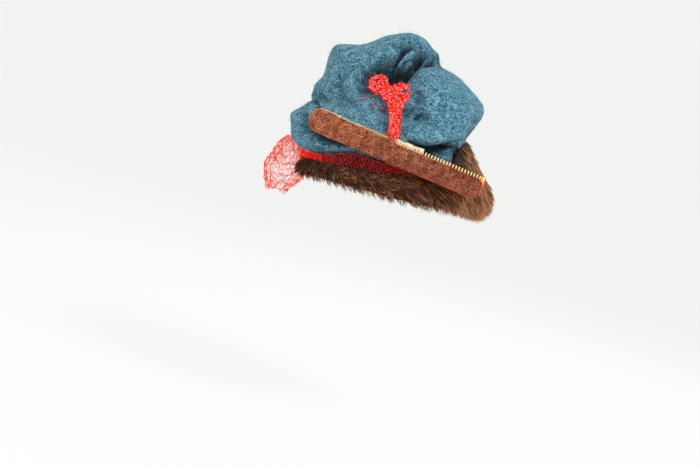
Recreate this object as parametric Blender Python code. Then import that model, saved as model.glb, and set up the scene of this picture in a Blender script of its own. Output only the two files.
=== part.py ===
"""A small draped felt hat with a fur band, a felted comb and red netting.

The hat is a hollow crown of wool felt, crushed into lobes and folds, that ends in a neck round the
head. A fur band goes round the neck, and flares into a flap at the wearer's left. Netting runs between
crown and fur, comes out as a puff at one side, and stands as a bow in front. A comb with a felt front
is glued across the face of the crown.

Metres, +Z up. The origin is the centre of the head opening, in the plane of the rim. +X is the
viewer's right, and -Y is the front.
"""

import math
from collections import namedtuple

import bpy
import numpy as np
from mathutils import Matrix, Vector
from mathutils.bvhtree import BVHTree

# Head opening and walls
HEAD_WIDTH = 0.155
HEAD_DEPTH = 0.189
HEAD_RISE = 0.093
FELT_WALL = 0.0025
NECK_EDGE = 0.004
SEAT = 0.0003
SEAT_STEP = 0.0008
HOLD_SPREAD = 0.0015
SHARP_ANGLE = math.radians(40)

# Crown: nominal plan and height, and the pinch of the space the rays start from
CROWN_WIDTH = 0.200
CROWN_DEPTH = 0.210
CROWN_HEIGHT = 0.167
CROWN_COLUMNS = 54
CROWN_ROWS = 22

# Fur band
PELT_WALL = 0.0015
LOCK_DEPTH = 0.0024
LOCK_TOP_SHARE = 0.5
FUR_TOP_SHARE = 0.4
LOCKS_AROUND = 36
FUR_ROWS = 6

# Netting
NET_WALL = 0.0010
NET_BAR_SHARE = 0.26
STRIP_GAPS = 46
STRIP_FROM = -186
STRIP_TO = -42
STRIP_TUCK = 0.005
STRIP_TOP = 0.031
PUFF_HEIGHT = 0.058
PUFF_AZIMUTH = 152
PUFF_COLUMNS = 12

# Comb and its felt front
COMB_LENGTH = 0.184
COMB_HEIGHT = 0.024
COMB_THICKNESS = 0.0032
COMB_ACROSS = 0.0075
COMB_UP = 0.0435
COMB_LEAN = math.radians(8.1)
COMB_YAW = math.radians(5.0)
COMB_END_GUARD = 0.028
COMB_FINE_LENGTH = 0.060
FINE_PITCH = 0.0020
COARSE_PITCH = 0.0033
TOOTH_LENGTH = 0.013
TOOTH_SHARE = 0.58
TOOTH_TIP_SHARE = 0.34
TOOTH_SHOW = 0.0038
COMB_LAST_GUARD = 0.0045
COMB_CORNER = 0.010
CORNER_STEPS = 5
COMB_FELT_WALL = 0.0018
COMB_FELT_INSET = 0.0012

# Glue pad behind the comb
PAD_LENGTH = 0.030
PAD_HEIGHT = 0.010
PAD_ALONG = 0.0095
PAD_PROUD = 0.0015

# Bow
BOW_HEIGHT = 0.0620
BOW_ACROSS = 0.002
BOW_SIDES = 10

CROWN_SIZES = np.array([CROWN_WIDTH / 2, CROWN_DEPTH / 2, CROWN_HEIGHT])
NECK_SIZES = np.array([HEAD_WIDTH / 2 + FELT_WALL, HEAD_DEPTH / 2 + FELT_WALL, HEAD_RISE])
RAY_START = np.array([-0.05, 0.0, 0.42]) * CROWN_SIZES

# Soft lobes that the felt wraps. Places and half sizes are shares of half the crown's width, half its
# depth and its height; lean is in degrees, falling to the right; blend is a share of half the width.
Lobe = namedtuple("Lobe", "name across back up half_across half_back half_up lean blend")
LOBES = [
    Lobe("body", -0.10, 0.02, 0.50, 0.74, 0.80, 0.27, 6, 0.14),
    Lobe("left_bump", -0.60, 0.00, 0.52, 0.33, 0.50, 0.11, 0, 0.07),
    Lobe("top_left", -0.44, 0.02, 0.66, 0.42, 0.60, 0.19, 8, 0.12),
    Lobe("top_ridge", -0.14, -0.06, 0.815, 0.40, 0.50, 0.165, -18, 0.12),
    Lobe("end_roll", 0.17, -0.14, 0.885, 0.10, 0.30, 0.05, 10, 0.03),
    Lobe("right", 0.325, 0.00, 0.605, 0.570, 0.74, 0.23, 24, 0.12),
    Lobe("front_left", -0.36, -0.46, 0.46, 0.34, 0.33, 0.19, 0, 0.10),
    Lobe("front_right", 0.29, -0.44, 0.46, 0.44, 0.34, 0.15, 0, 0.10),
    Lobe("under_right", 0.20, -0.20, 0.26, 0.48, 0.64, 0.13, 0, 0.12),
    Lobe("back_left", -0.25, 0.45, 0.52, 0.55, 0.45, 0.28, 0, 0.12),
    Lobe("back_right", 0.26, 0.42, 0.45, 0.50, 0.50, 0.24, 0, 0.12),
]
MOUTH = Lobe("mouth", -0.27, -0.78, 0.69, 0.26, 0.34, 0.09, -37, 0.08)

# Roll of felt that hangs over the neck: widest at ROLL_MIDDLE degrees, gone ROLL_SPREAD away from it
ROLL_ACROSS = 0.78
ROLL_BACK = 0.80
ROLL_UP = 0.285
ROLL_RISE = 0.08
ROLL_HALF_OUT = 0.27
ROLL_HALF_UP = 0.150
ROLL_MIDDLE = 200
ROLL_SPREAD = 125
ROLL_THINNEST = 0.18
ROLL_SQUARENESS = 2.5
ROLL_BLEND = 0.05
ROLL_FADE = 0.8

# Folds drawn on the lobes, from one direction to another, in degrees seen from the crown's middle:
# azimuth from +X towards the back, polar from straight up. Half width and height are shares of half
# the crown's width; a height below 0 is a valley, and a sharpness near 1 makes it a crease.
Fold = namedtuple("Fold", "name azimuth polar to_azimuth to_polar half_width height sharpness")
FOLDS = [
    Fold("mouth_floor", -120, 72, -98, 46, 0.10, -0.16, 1.6),
    Fold("mouth_lip", -130, 56, -98, 33, 0.09, 0.05, 2.0),
    Fold("long_crease", -100, 45, -66, 29, 0.06, -0.15, 1.1),
    Fold("end_crease", -68, 29, -20, 33, 0.035, -0.06, 1.2),
    Fold("top_valley", -112, 42, -84, 24, 0.06, -0.07, 1.4),
    Fold("column_high", -146, 55, -139, 72, 0.06, -0.05, 1.6),
    Fold("column_low", -139, 72, -116, 90, 0.06, -0.05, 1.6),
    Fold("stem_high", -98, 52, -84, 76, 0.10, -0.08, 1.6),
    Fold("stem_low", -84, 76, -86, 100, 0.09, -0.08, 1.6),
    Fold("right_dent", -77, 62, -72, 72, 0.08, -0.04, 2.0),
    Fold("right_low_dent", -74, 82, -64, 86, 0.08, -0.05, 2.0),
    Fold("under_crease", -84, 101, -40, 94, 0.06, -0.12, 1.2),
    Fold("roll_crease", -160, 92, -130, 105, 0.06, -0.10, 1.3),
    Fold("roll_crease_front", -130, 105, -92, 103, 0.07, -0.08, 1.3),
    Fold("back_valley", 60, 30, 110, 88, 0.10, -0.10, 1.4),
    Fold("back_crease", 150, 50, 128, 96, 0.08, -0.08, 1.3),
    Fold("right_back_crease", 10, 60, 40, 100, 0.08, -0.07, 1.3),
]
FOLD_STEPS = 8
FOLD_END_SHARE = 0.15
RAY_STEPS = 60
RAY_REACH = 1.3
RAY_HALVINGS = 12

# Fur band, seen from above at an azimuth: the outer face curves from a low edge past a belly to a top
# edge on the crown. Reaches are shares of the neck's reach there, heights are shares of the head's rise,
# and thick, at the low edge, is a share of the neck's width.
FurSection = namedtuple("FurSection", "azimuth low_reach low_up belly_reach belly_up top_up thick")
FUR_SECTIONS = [
    FurSection(-180, 1.08, 0.00, 1.14, 0.05, 0.15, 0.040),
    FurSection(-135, 1.08, 0.00, 1.14, 0.06, 0.17, 0.040),
    FurSection(-95, 1.09, 0.00, 1.15, 0.10, 0.22, 0.045),
    FurSection(-65, 1.12, 0.00, 1.20, 0.16, 0.32, 0.055),
    FurSection(-42, 1.20, 0.02, 1.36, 0.22, 0.46, 0.080),
    FurSection(-20, 1.33, 0.02, 1.60, 0.28, 0.74, 0.115),
    FurSection(4, 1.375, 0.00, 1.69, 0.30, 0.80, 0.125),
    FurSection(35, 1.28, 0.00, 1.50, 0.28, 0.66, 0.110),
    FurSection(80, 1.10, 0.00, 1.22, 0.20, 0.44, 0.055),
    FurSection(130, 1.08, 0.00, 1.15, 0.10, 0.24, 0.045),
]

# Puff of netting, as rings from its top under the roll to its foot. Drop, out, along and the half sizes
# are shares of PUFF_HEIGHT; out is measured from the fur.
PuffRing = namedtuple("PuffRing", "drop half_out half_along along")
PUFF_RINGS = [
    PuffRing(0.00, 0.08, 0.26, 0.00),
    PuffRing(0.18, 0.22, 0.36, 0.02),
    PuffRing(0.40, 0.32, 0.42, 0.04),
    PuffRing(0.62, 0.36, 0.42, 0.08),
    PuffRing(0.82, 0.30, 0.34, 0.12),
    PuffRing(1.00, 0.17, 0.20, 0.14),
]

# Bow: each ring is centred on across and up and is as wide and as thick as its two halves say, all in
# shares of BOW_HEIGHT. Up is measured from the teeth of the comb.
BowRing = namedtuple("BowRing", "across up half_width half_thick")
BOW_STEM = [
    BowRing(0.01, 0.01, 0.080, 0.035),
    BowRing(-0.03, 0.10, 0.116, 0.050),
    BowRing(-0.07, 0.27, 0.112, 0.060),
    BowRing(-0.10, 0.41, 0.135, 0.070),
    BowRing(-0.14, 0.54, 0.165, 0.070),
]
BOW_LEFT = [
    BowRing(-0.15, 0.44, 0.090, 0.055),
    BowRing(-0.37, 0.63, 0.165, 0.080),
    BowRing(-0.48, 0.79, 0.180, 0.090),
    BowRing(-0.51, 0.92, 0.130, 0.075),
    BowRing(-0.52, 0.99, 0.060, 0.045),
]
BOW_RIGHT = [
    BowRing(-0.09, 0.46, 0.090, 0.055),
    BowRing(-0.08, 0.65, 0.120, 0.080),
    BowRing(-0.08, 0.80, 0.150, 0.090),
    BowRing(-0.08, 0.92, 0.120, 0.075),
    BowRing(-0.10, 0.98, 0.055, 0.045),
]


def clear_scene():
    for obj in list(bpy.data.objects):
        bpy.data.objects.remove(obj)


def material(name, colour, roughness, metallic=0.0):
    made = bpy.data.materials.new(name)
    made.use_nodes = True
    shader = made.node_tree.nodes["Principled BSDF"]
    shader.inputs["Base Color"].default_value = (*colour, 1.0)
    shader.inputs["Roughness"].default_value = roughness
    shader.inputs["Metallic"].default_value = metallic
    return made


def add_object(name, verts, faces, finish):
    mesh = bpy.data.meshes.new(name)
    mesh.from_pydata([tuple(map(float, v)) for v in verts], [], faces)
    mesh.validate()
    mesh.materials.append(finish)
    mesh.shade_smooth()
    mesh.set_sharp_from_angle(angle=SHARP_ANGLE)
    obj = bpy.data.objects.new(name, mesh)
    bpy.context.collection.objects.link(obj)
    return obj


# The lobes: rough distances in metres, below 0 inside


def ellipsoid_gap(points, centre, radii, lean=0.0):
    a = math.radians(lean)
    own_axes = np.array([[math.cos(a), 0, math.sin(a)], [0, 1, 0], [-math.sin(a), 0, math.cos(a)]])
    local = ((points - centre) @ own_axes) / radii
    length = np.linalg.norm(local, axis=-1) + 1e-9
    slope = np.linalg.norm(local / radii, axis=-1) / length
    return (length - 1) / np.maximum(slope, 1e-6)


def lobe_gap(points, lobe):
    centre = np.array([lobe.across, lobe.back, lobe.up]) * CROWN_SIZES
    radii = np.array([lobe.half_across, lobe.half_back, lobe.half_up]) * CROWN_SIZES
    return ellipsoid_gap(points, centre, radii, lobe.lean)


def roll_gap(points):
    """Distance to the roll: an upright oval tube bent round the neck, thin away from its middle."""
    x = points[..., 0] / (ROLL_ACROSS * CROWN_SIZES[0])
    y = points[..., 1] / (ROLL_BACK * CROWN_SIZES[1])
    around = (np.abs(x) ** ROLL_SQUARENESS + np.abs(y) ** ROLL_SQUARENESS) ** (1 / ROLL_SQUARENESS)
    off = (np.degrees(np.arctan2(y, x)) - ROLL_MIDDLE + 180) % 360 - 180
    fade = np.cos(np.radians(90 * np.clip(off / ROLL_SPREAD, -1, 1))) ** ROLL_FADE
    thin = ROLL_THINNEST + (1 - ROLL_THINNEST) * fade
    half_out = ROLL_HALF_OUT * CROWN_SIZES[0] * thin
    half_up = ROLL_HALF_UP * CROWN_SIZES[2] * thin
    middle_up = (ROLL_UP + ROLL_RISE * (x / np.maximum(around, 1e-6) + 1)) * CROWN_SIZES[2]
    out = (around - 1) * ROLL_ACROSS * CROWN_SIZES[0]
    size = np.sqrt((out / half_out) ** 2 + ((points[..., 2] - middle_up) / half_up) ** 2)
    return (size - 1) * np.minimum(half_out, half_up)


def soft_min(a, b, reach):
    share = np.clip(0.5 + 0.5 * (b - a) / reach, 0, 1)
    return b + (a - b) * share - reach * share * (1 - share)


def crown_gap(points):
    half_width = CROWN_SIZES[0]
    gap = ellipsoid_gap(points, np.zeros(3), NECK_SIZES)
    for lobe in LOBES:
        gap = soft_min(gap, lobe_gap(points, lobe), lobe.blend * half_width)
    gap = soft_min(gap, roll_gap(points), ROLL_BLEND * half_width)
    return -soft_min(-gap, lobe_gap(points, MOUTH), MOUTH.blend * half_width)


def meet_lobes(directions):
    """Outermost points where rays from the crown's middle leave the lobes."""
    far = RAY_REACH * float(np.linalg.norm(CROWN_SIZES))
    step = far / RAY_STEPS
    reach = np.full(directions.shape[:-1], step)
    open_rays = np.ones(directions.shape[:-1], bool)
    for distance in np.arange(far, step, -step):
        inside = crown_gap(RAY_START + directions * distance) <= 0
        reach = np.where(open_rays & inside, distance, reach)
        open_rays &= ~inside
    low, high = reach, reach + step
    for _ in range(RAY_HALVINGS):
        middle = (low + high) / 2
        inside = crown_gap(RAY_START + directions * middle[..., None]) <= 0
        low, high = np.where(inside, middle, low), np.where(inside, high, middle)
    return RAY_START + directions * low[..., None]


def aim(azimuth, polar):
    a, p = np.radians(azimuth), np.radians(polar)
    return np.stack([np.sin(p) * np.cos(a), np.sin(p) * np.sin(a), np.cos(p)], -1)


def fold_path(fold):
    ends = aim(np.array([fold.azimuth, fold.to_azimuth]), np.array([fold.polar, fold.to_polar]))
    shares = np.linspace(0, 1, FOLD_STEPS + 1)[:, None]
    path = ends[0] * (1 - shares) + ends[1] * shares
    return meet_lobes(path / np.linalg.norm(path, axis=1)[:, None])


def fold_lift(points, fold):
    """Height in metres that one fold adds at points on the lobes, fading at its two ends."""
    path = fold_path(fold)
    nearest = np.full(points.shape[:-1], np.inf)
    place = np.zeros(points.shape[:-1])
    for i in range(FOLD_STEPS):
        run = path[i + 1] - path[i]
        share = np.clip(((points - path[i]) @ run) / (run @ run), 0, 1)
        away = np.linalg.norm(points - path[i] - share[..., None] * run, axis=-1)
        place = np.where(away < nearest, (i + share) / FOLD_STEPS, place)
        nearest = np.minimum(nearest, away)
    ease = FOLD_END_SHARE + (1 - FOLD_END_SHARE) * np.sqrt(np.clip(4 * place * (1 - place), 0, 1))
    width = fold.half_width * CROWN_SIZES[0]
    return fold.height * CROWN_SIZES[0] * ease * np.exp(-((nearest / width) ** fold.sharpness))


def folded(directions):
    points = meet_lobes(directions)
    lift = sum(fold_lift(points, fold) for fold in FOLDS)
    return points + directions * lift[..., None]


def crown_directions():
    """Rows of ray directions from near the top down to the neck's edge."""
    turns = np.linspace(0, 2 * math.pi, CROWN_COLUMNS, endpoint=False)
    edge_share = math.sqrt(1 - (NECK_EDGE / NECK_SIZES[2]) ** 2)
    edge = np.stack(
        [
            NECK_SIZES[0] * edge_share * np.cos(turns),
            NECK_SIZES[1] * edge_share * np.sin(turns),
            np.full(CROWN_COLUMNS, NECK_EDGE),
        ],
        -1,
    )
    away = edge - RAY_START
    last = np.degrees(np.arctan2(np.linalg.norm(away[:, :2], axis=1), away[:, 2]))
    azimuth = np.degrees(np.arctan2(away[:, 1], away[:, 0]))
    shares = np.arange(1, CROWN_ROWS + 1)[:, None] / CROWN_ROWS
    return aim(azimuth[None] + 0 * shares, shares * last[None])


def cup_faces(rows, columns, start):
    """Faces of a cup: a point at start, then rows of columns below it, facing away from the axis."""
    faces = []
    for j in range(columns):
        faces.append((start, start + 1 + j, start + 1 + (j + 1) % columns))
    for i in range(rows - 1):
        for j in range(columns):
            a = start + 1 + i * columns + j
            b = start + 1 + i * columns + (j + 1) % columns
            faces.append((a, a + columns, b + columns, b))
    return faces


def felt_crown(finish):
    """The crown as one wall of felt, open at the neck."""
    rings = folded(crown_directions())
    top = folded(np.array([[0.0, 0.0, 1.0]]))
    outer = np.concatenate([top, rings.reshape(-1, 3)])
    faces = cup_faces(CROWN_ROWS, CROWN_COLUMNS, 0)
    sheet = bpy.data.meshes.new("sheet")
    sheet.from_pydata([tuple(map(float, v)) for v in outer], [], faces)
    normals = np.array([v.normal for v in sheet.vertices])
    inner = outer - normals * FELT_WALL
    count = len(outer)
    inner_faces = [tuple(i + count for i in reversed(face)) for face in faces]
    first = 1 + (CROWN_ROWS - 1) * CROWN_COLUMNS
    rim = []
    for j in range(CROWN_COLUMNS):
        a, b = first + j, first + (j + 1) % CROWN_COLUMNS
        rim.append((b, a, a + count, b + count))
    return add_object("felt_crown", np.concatenate([outer, inner]), faces + inner_faces + rim, finish)


def tree_of(*objs):
    """One search tree over the triangles of the named pieces."""
    verts, faces = [], []
    for obj in objs:
        start = len(verts)
        verts += [v.co for v in obj.data.vertices]
        faces += [tuple(i + start for i in p.vertices) for p in obj.data.polygons]
    return BVHTree.FromPolygons(verts, faces)


def reach_of(tree, azimuth, up):
    """How far from the axis a piece reaches at a height, looking from outside."""
    out = Vector((math.cos(azimuth), math.sin(azimuth), 0))
    far = 2 * CROWN_WIDTH
    hit = tree.ray_cast(out * far + Vector((0, 0, up)), -out, 2 * far)[3]
    return far - hit if hit is not None else 0.0



def held_reach(tree, azimuth, up):
    """How far a piece reaches at and just round a place, so that a sheet laid there clears its facets."""
    turn = HOLD_SPREAD / CROWN_WIDTH * 2
    around = (azimuth - turn, azimuth, azimuth + turn)
    heights = (up - HOLD_SPREAD, up, up + HOLD_SPREAD)
    return max(reach_of(tree, a, z) for a in around for z in heights)


def front_of(tree, across, up):
    """The y at which a piece is first met from the front, or None where it isn't."""
    start = Vector((across, -2 * CROWN_DEPTH, up))
    met = tree.ray_cast(start, Vector((0, 1, 0)))[0]
    return met.y if met else None


def along_table(rows, azimuth):
    """Values of a table's columns at an azimuth, eased between its rows all the way round."""
    names = [row.azimuth for row in rows] + [rows[0].azimuth + 360]
    turned = (azimuth - names[0]) % 360 + names[0]
    place = next(i for i in range(len(rows)) if turned <= names[i + 1])
    share = (turned - names[place]) / (names[place + 1] - names[place])
    ease = share * share * (3 - 2 * share)
    here, there = rows[place], rows[(place + 1) % len(rows)]
    values = {name: getattr(here, name) * (1 - ease) + getattr(there, name) * ease for name in here._fields}
    return type(here)(**values)


def fur_clearance():
    """Room between crown and fur, which holds the edge of the netting."""
    return 2 * SEAT + NET_WALL


def fur_column(tree, column):
    """Inner and outer points of the fur at one column, from the low edge up."""
    columns = 2 * LOCKS_AROUND
    azimuth = 360 * column / columns - 180
    section = along_table(FUR_SECTIONS, azimuth)
    a = math.radians(azimuth)
    neck = 1 / math.hypot(math.cos(a) / NECK_SIZES[0], math.sin(a) / NECK_SIZES[1])
    top_up = section.top_up * HEAD_RISE
    top_reach = held_reach(tree, a, top_up) + fur_clearance() + PELT_WALL
    ends = [
        (section.low_reach * neck, section.low_up * HEAD_RISE),
        (section.belly_reach * neck, section.belly_up * HEAD_RISE),
        (top_reach, top_up),
    ]
    inner, outer = [], []
    for row in range(FUR_ROWS):
        t = row / (FUR_ROWS - 1)
        weights = ((1 - t) ** 2, 2 * t * (1 - t), t * t)
        reach = sum(w * end[0] for w, end in zip(weights, ends))
        up = sum(w * end[1] for w, end in zip(weights, ends))
        ridge = LOCK_DEPTH if (column + row // 2) % 2 == 0 else 0
        held = held_reach(tree, a, up) + fur_clearance()
        thick = section.thick * HEAD_WIDTH * (1 - (1 - FUR_TOP_SHARE) * t)
        inside = max(held, reach - thick)
        outside = max(reach, inside + PELT_WALL) + ridge * (1 - (1 - LOCK_TOP_SHARE) * t)
        hang = ridge * (1 - t) ** 4
        inner.append(Vector((inside * math.cos(a), inside * math.sin(a), up)))
        outer.append(Vector((outside * math.cos(a), outside * math.sin(a), up - hang)))
    return inner, outer


def fur_band(tree, finish):
    columns = 2 * LOCKS_AROUND
    verts = []
    for column in range(columns):
        inner, outer = fur_column(tree, column)
        verts += inner + outer[::-1]
    around = 2 * FUR_ROWS
    faces = []
    for j in range(columns):
        for i in range(around):
            a, b = j * around + i, j * around + (i + 1) % around
            c, d = (j + 1) % columns * around + (i + 1) % around, (j + 1) % columns * around + i
            faces.append((a, b, c, d))
    return add_object("fur_band", verts, faces, finish)


def pierced_sheet(name, outer, inner, closed, finish, plain_rows=0):
    """A netting sheet between two grids of points, with one gap in each cell.

    A closed sheet joins its last column to its first. The lowest plain_rows of cells have no gap.
    """
    rows, columns = outer.shape[:2]
    cells_across = columns if closed else columns - 1
    count = rows * columns
    verts = [Vector(p) for p in outer.reshape(-1, 3)] + [Vector(p) for p in inner.reshape(-1, 3)]
    faces = []
    for i in range(rows - 1):
        for j in range(cells_across):
            right = (j + 1) % columns
            here, below = i * columns, (i + 1) * columns
            corners = [here + j, below + j, below + right, here + right]
            if i >= rows - 1 - plain_rows:
                faces.append(tuple(corners))
                faces.append(tuple(c + count for c in reversed(corners)))
                continue
            holes = []
            for side in (0, count):
                middle = sum((verts[c + side] for c in corners), Vector()) / 4
                holes.append(range(len(verts), len(verts) + 4))
                verts += [middle.lerp(verts[c + side], 1 - NET_BAR_SHARE) for c in corners]
            for k in range(4):
                n = (k + 1) % 4
                faces.append((corners[k], corners[n], holes[0][n], holes[0][k]))
                faces.append((corners[n] + count, corners[k] + count, holes[1][k], holes[1][n]))
                faces.append((holes[0][k], holes[0][n], holes[1][n], holes[1][k]))
    for j in range(cells_across):
        right = (j + 1) % columns
        low = (rows - 1) * columns
        faces.append((j, right, right + count, j + count))
        faces.append((low + right, low + j, low + j + count, low + right + count))
    if not closed:
        for i in range(rows - 1):
            left, below_left = i * columns, (i + 1) * columns
            right, below_right = left + columns - 1, below_left + columns - 1
            faces.append((below_left, left, left + count, below_left + count))
            faces.append((right, below_right, below_right + count, right + count))
    return add_object(name, verts, faces, finish)


def net_band(tree, finish):
    """Strip of netting that lies on the crown, its lower edge tucked behind the fur."""
    outer, inner = [[], [], []], [[], [], []]
    for azimuth in np.linspace(STRIP_FROM, STRIP_TO, STRIP_GAPS + 1):
        a = math.radians(azimuth)
        fur_top = along_table(FUR_SECTIONS, azimuth).top_up * HEAD_RISE
        for row, up in enumerate((roll_underside(tree, a, fur_top), fur_top, fur_top - STRIP_TUCK)):
            reach = held_reach(tree, a, up) + SEAT
            for sheet, at in ((inner, reach), (outer, reach + NET_WALL)):
                sheet[row].append((at * math.cos(a), at * math.sin(a), up))
    return pierced_sheet("net_band", np.array(outer), np.array(inner), False, finish, plain_rows=1)


def roll_underside(tree, azimuth, fur_top):
    """Height above the fur at which the roll starts to lean out over the neck."""
    up = fur_top + STRIP_TUCK
    while up < STRIP_TOP:
        if reach_of(tree, azimuth, up + SEAT_STEP) - reach_of(tree, azimuth, up) > SEAT_STEP:
            break
        up += SEAT_STEP
    return up


def net_puff(crown, fur, finish):
    """Bag of netting that hangs from under the roll beside the fur, open at its foot."""
    a = math.radians(PUFF_AZIMUTH)
    out = Vector((math.cos(a), math.sin(a), 0))
    along = Vector((-out.y, out.x, 0))
    crown_tree = tree_of(crown)
    fur_reach = max(v.co.dot(out) for v in fur.data.vertices if abs(v.co.dot(along)) < PUFF_HEIGHT)
    sheets = [[], []]
    top = CROWN_HEIGHT
    first = PUFF_RINGS[0]
    turns = np.linspace(0, 2 * math.pi, PUFF_COLUMNS, endpoint=False)
    for turn in turns:
        reach = fur_reach + SEAT + first.half_out * PUFF_HEIGHT * (1 + math.cos(turn))
        start = out * reach + along * (first.half_along * PUFF_HEIGHT * math.sin(turn))
        met = crown_tree.ray_cast(start, Vector((0, 0, 1)))[0]
        if met:
            top = min(top, met.z - SEAT)
    for ring in PUFF_RINGS:
        middle = out * (fur_reach + SEAT + ring.half_out * PUFF_HEIGHT) + along * (ring.along * PUFF_HEIGHT)
        middle.z = top - ring.drop * PUFF_HEIGHT
        for sheet, wall in ((sheets[0], 0), (sheets[1], NET_WALL)):
            row = []
            for turn in turns:
                across = (ring.half_out * PUFF_HEIGHT - wall) * math.cos(turn)
                sideways = (ring.half_along * PUFF_HEIGHT - wall) * math.sin(turn)
                row.append(tuple(middle + out * across + along * sideways))
            sheet.append(row)
    return pierced_sheet("net_puff", np.array(sheets[0]), np.array(sheets[1]), True, finish)


def seat_room(tree, frame, half_along, half_up, along=0.0, up=0.0):
    """How far a flat face can move along a frame's second axis before it meets a piece."""
    back = frame.to_3x3() @ Vector((0, 1, 0))
    room = 2 * CROWN_DEPTH
    for u in np.linspace(along - half_along, along + half_along, math.ceil(2 * half_along / SEAT_STEP)):
        for v in np.linspace(up - half_up, up + half_up, math.ceil(2 * half_up / SEAT_STEP)):
            met = tree.ray_cast(frame @ Vector((u, 0, v)), back)[3]
            if met is not None:
                room = min(room, met)
    return room


def comb_frame(tree):
    """The comb's own axes: along it, towards the crown and up, with its back face just off the crown."""
    turn = Matrix.Rotation(COMB_YAW, 4, "Z") @ Matrix.Rotation(COMB_LEAN, 4, "Y")
    front = Matrix.Translation((COMB_ACROSS, -CROWN_DEPTH / 2, COMB_UP)) @ turn
    start = front @ Matrix.Translation((0, -CROWN_DEPTH, 0))
    room = seat_room(tree, start, COMB_LENGTH / 2, COMB_HEIGHT / 2)
    return start @ Matrix.Translation((0, room - SEAT, 0))


def rounded_end(u, v, radius, from_degrees):
    """Points of a quarter turn about a corner's centre, clockwise."""
    turns = np.radians(np.linspace(from_degrees, from_degrees - 90, CORNER_STEPS))
    return [(u + radius * math.cos(t), v + radius * math.sin(t)) for t in turns]


def teeth_points(first, last, pitch, base, tip):
    """Outline of a run of teeth from left to right, as many as fit."""
    count = round((last - first) / pitch)
    sides = ((-TOOTH_SHARE, base), (-TOOTH_TIP_SHARE, tip), (TOOTH_TIP_SHARE, tip), (TOOTH_SHARE, base))
    points = []
    for k in range(count):
        middle = first + (k + 0.5) * (last - first) / count
        points += [(middle + share * pitch / 2, v) for share, v in sides]
    return points


def comb_outline():
    """Clockwise outline of the comb, teeth up, about its middle."""
    half, top = COMB_LENGTH / 2, COMB_HEIGHT / 2
    base = top - TOOTH_LENGTH
    corner_u, corner_v = half - COMB_CORNER, top - COMB_CORNER
    fine_from = COMB_END_GUARD - half
    coarse_from = fine_from + COMB_FINE_LENGTH
    coarse_to = half - COMB_LAST_GUARD
    points = rounded_end(-corner_u, corner_v, COMB_CORNER, 180)
    points.append((fine_from, top))
    points.append((fine_from, base))
    points += teeth_points(fine_from, coarse_from, FINE_PITCH, base, top)
    points += teeth_points(coarse_from, coarse_to, COARSE_PITCH, base, top)
    points.append((coarse_to, base))
    points.append((coarse_to, top))
    points.append((half - COMB_LAST_GUARD / 3, top))
    points.append((half, top - COMB_LAST_GUARD))
    points += rounded_end(corner_u, -corner_v, COMB_CORNER, 0)
    points += rounded_end(-corner_u, -corner_v, COMB_CORNER, -90)
    return points


def plate(name, outline, frame, near, far, finish):
    """A flat plate of one outline, from near to far along the frame's second axis."""
    count = len(outline)
    verts = [frame @ Vector((u, w, v)) for w in (near, far) for u, v in outline]
    faces = [tuple(reversed(range(count))), tuple(range(count, 2 * count))]
    for i in range(count):
        n = (i + 1) % count
        faces.append((i, n, n + count, i + count))
    return add_object(name, verts, faces, finish)


def comb(frame, finish):
    return plate("comb", comb_outline(), frame, -COMB_THICKNESS, 0, finish)


def comb_felt(frame, finish):
    """Felt over the comb's front, from its lower edge to just below the tips of the teeth."""
    half = COMB_LENGTH / 2 - COMB_FELT_INSET
    low, high = COMB_FELT_INSET - COMB_HEIGHT / 2, COMB_HEIGHT / 2 - TOOTH_SHOW
    radius = COMB_CORNER - COMB_FELT_INSET
    outline = rounded_end(radius - half, high - radius, radius, 180)
    outline += rounded_end(half - radius, high - radius, radius, 90)
    outline += rounded_end(half - radius, low + radius, radius, 0)
    outline += rounded_end(radius - half, low + radius, radius, -90)
    far = -COMB_THICKNESS - SEAT
    return plate("comb_felt", outline, frame, far - COMB_FELT_WALL, far, finish)


def glue_pad(frame, tree, finish):
    """Padding between comb and crown, which shows just above the teeth."""
    left, right = PAD_ALONG - PAD_LENGTH / 2, PAD_ALONG + PAD_LENGTH / 2
    high = COMB_HEIGHT / 2 + PAD_PROUD
    low = high - PAD_HEIGHT
    room = seat_room(tree, frame, PAD_LENGTH / 2, PAD_HEIGHT / 2, PAD_ALONG, (low + high) / 2)
    outline = [(left, low), (left, high), (right, high), (right, low)]
    return plate("glue_pad", outline, frame, SEAT, room - SEAT, finish)


def loft(name, rings, finish):
    """Solid through rings of points, with a point in the middle of each end."""
    sides = len(rings[0])
    verts = [p for ring in rings for p in ring]
    faces = []
    for i in range(len(rings) - 1):
        for j in range(sides):
            n = (j + 1) % sides
            a, b = i * sides, (i + 1) * sides
            faces.append((a + j, a + n, b + n, b + j))
    for i in (0, len(rings) - 1):
        middle = sum(rings[i], Vector()) / sides
        verts.append(middle)
        for j in range(sides):
            n = (j + 1) % sides
            pair = (i * sides + n, i * sides + j) if i == 0 else (i * sides + j, i * sides + n)
            faces.append((*pair, len(verts) - 1))
    return add_object(name, verts, faces, finish)


def bow_rings(sections, foot, tree):
    """Level rings of one arm of the bow, each just in front of what lies behind it."""
    rings = []
    for section in sections:
        across = foot.x + section.across * BOW_HEIGHT
        up = foot.z + section.up * BOW_HEIGHT
        half_width = section.half_width * BOW_HEIGHT
        half_thick = section.half_thick * BOW_HEIGHT
        behind = []
        for x in np.linspace(across - half_width, across + half_width, BOW_SIDES // 2):
            for z in np.linspace(up - half_width, up + half_width, BOW_SIDES // 2):
                behind.append(front_of(tree, x, z))
        y = min(met for met in behind if met is not None) - SEAT - half_thick
        ring = []
        for k in range(BOW_SIDES):
            turn = 2 * math.pi * k / BOW_SIDES
            ring.append(Vector((across + half_width * math.cos(turn), y + half_thick * math.sin(turn), up)))
        rings.append(ring)
    return rings


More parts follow.
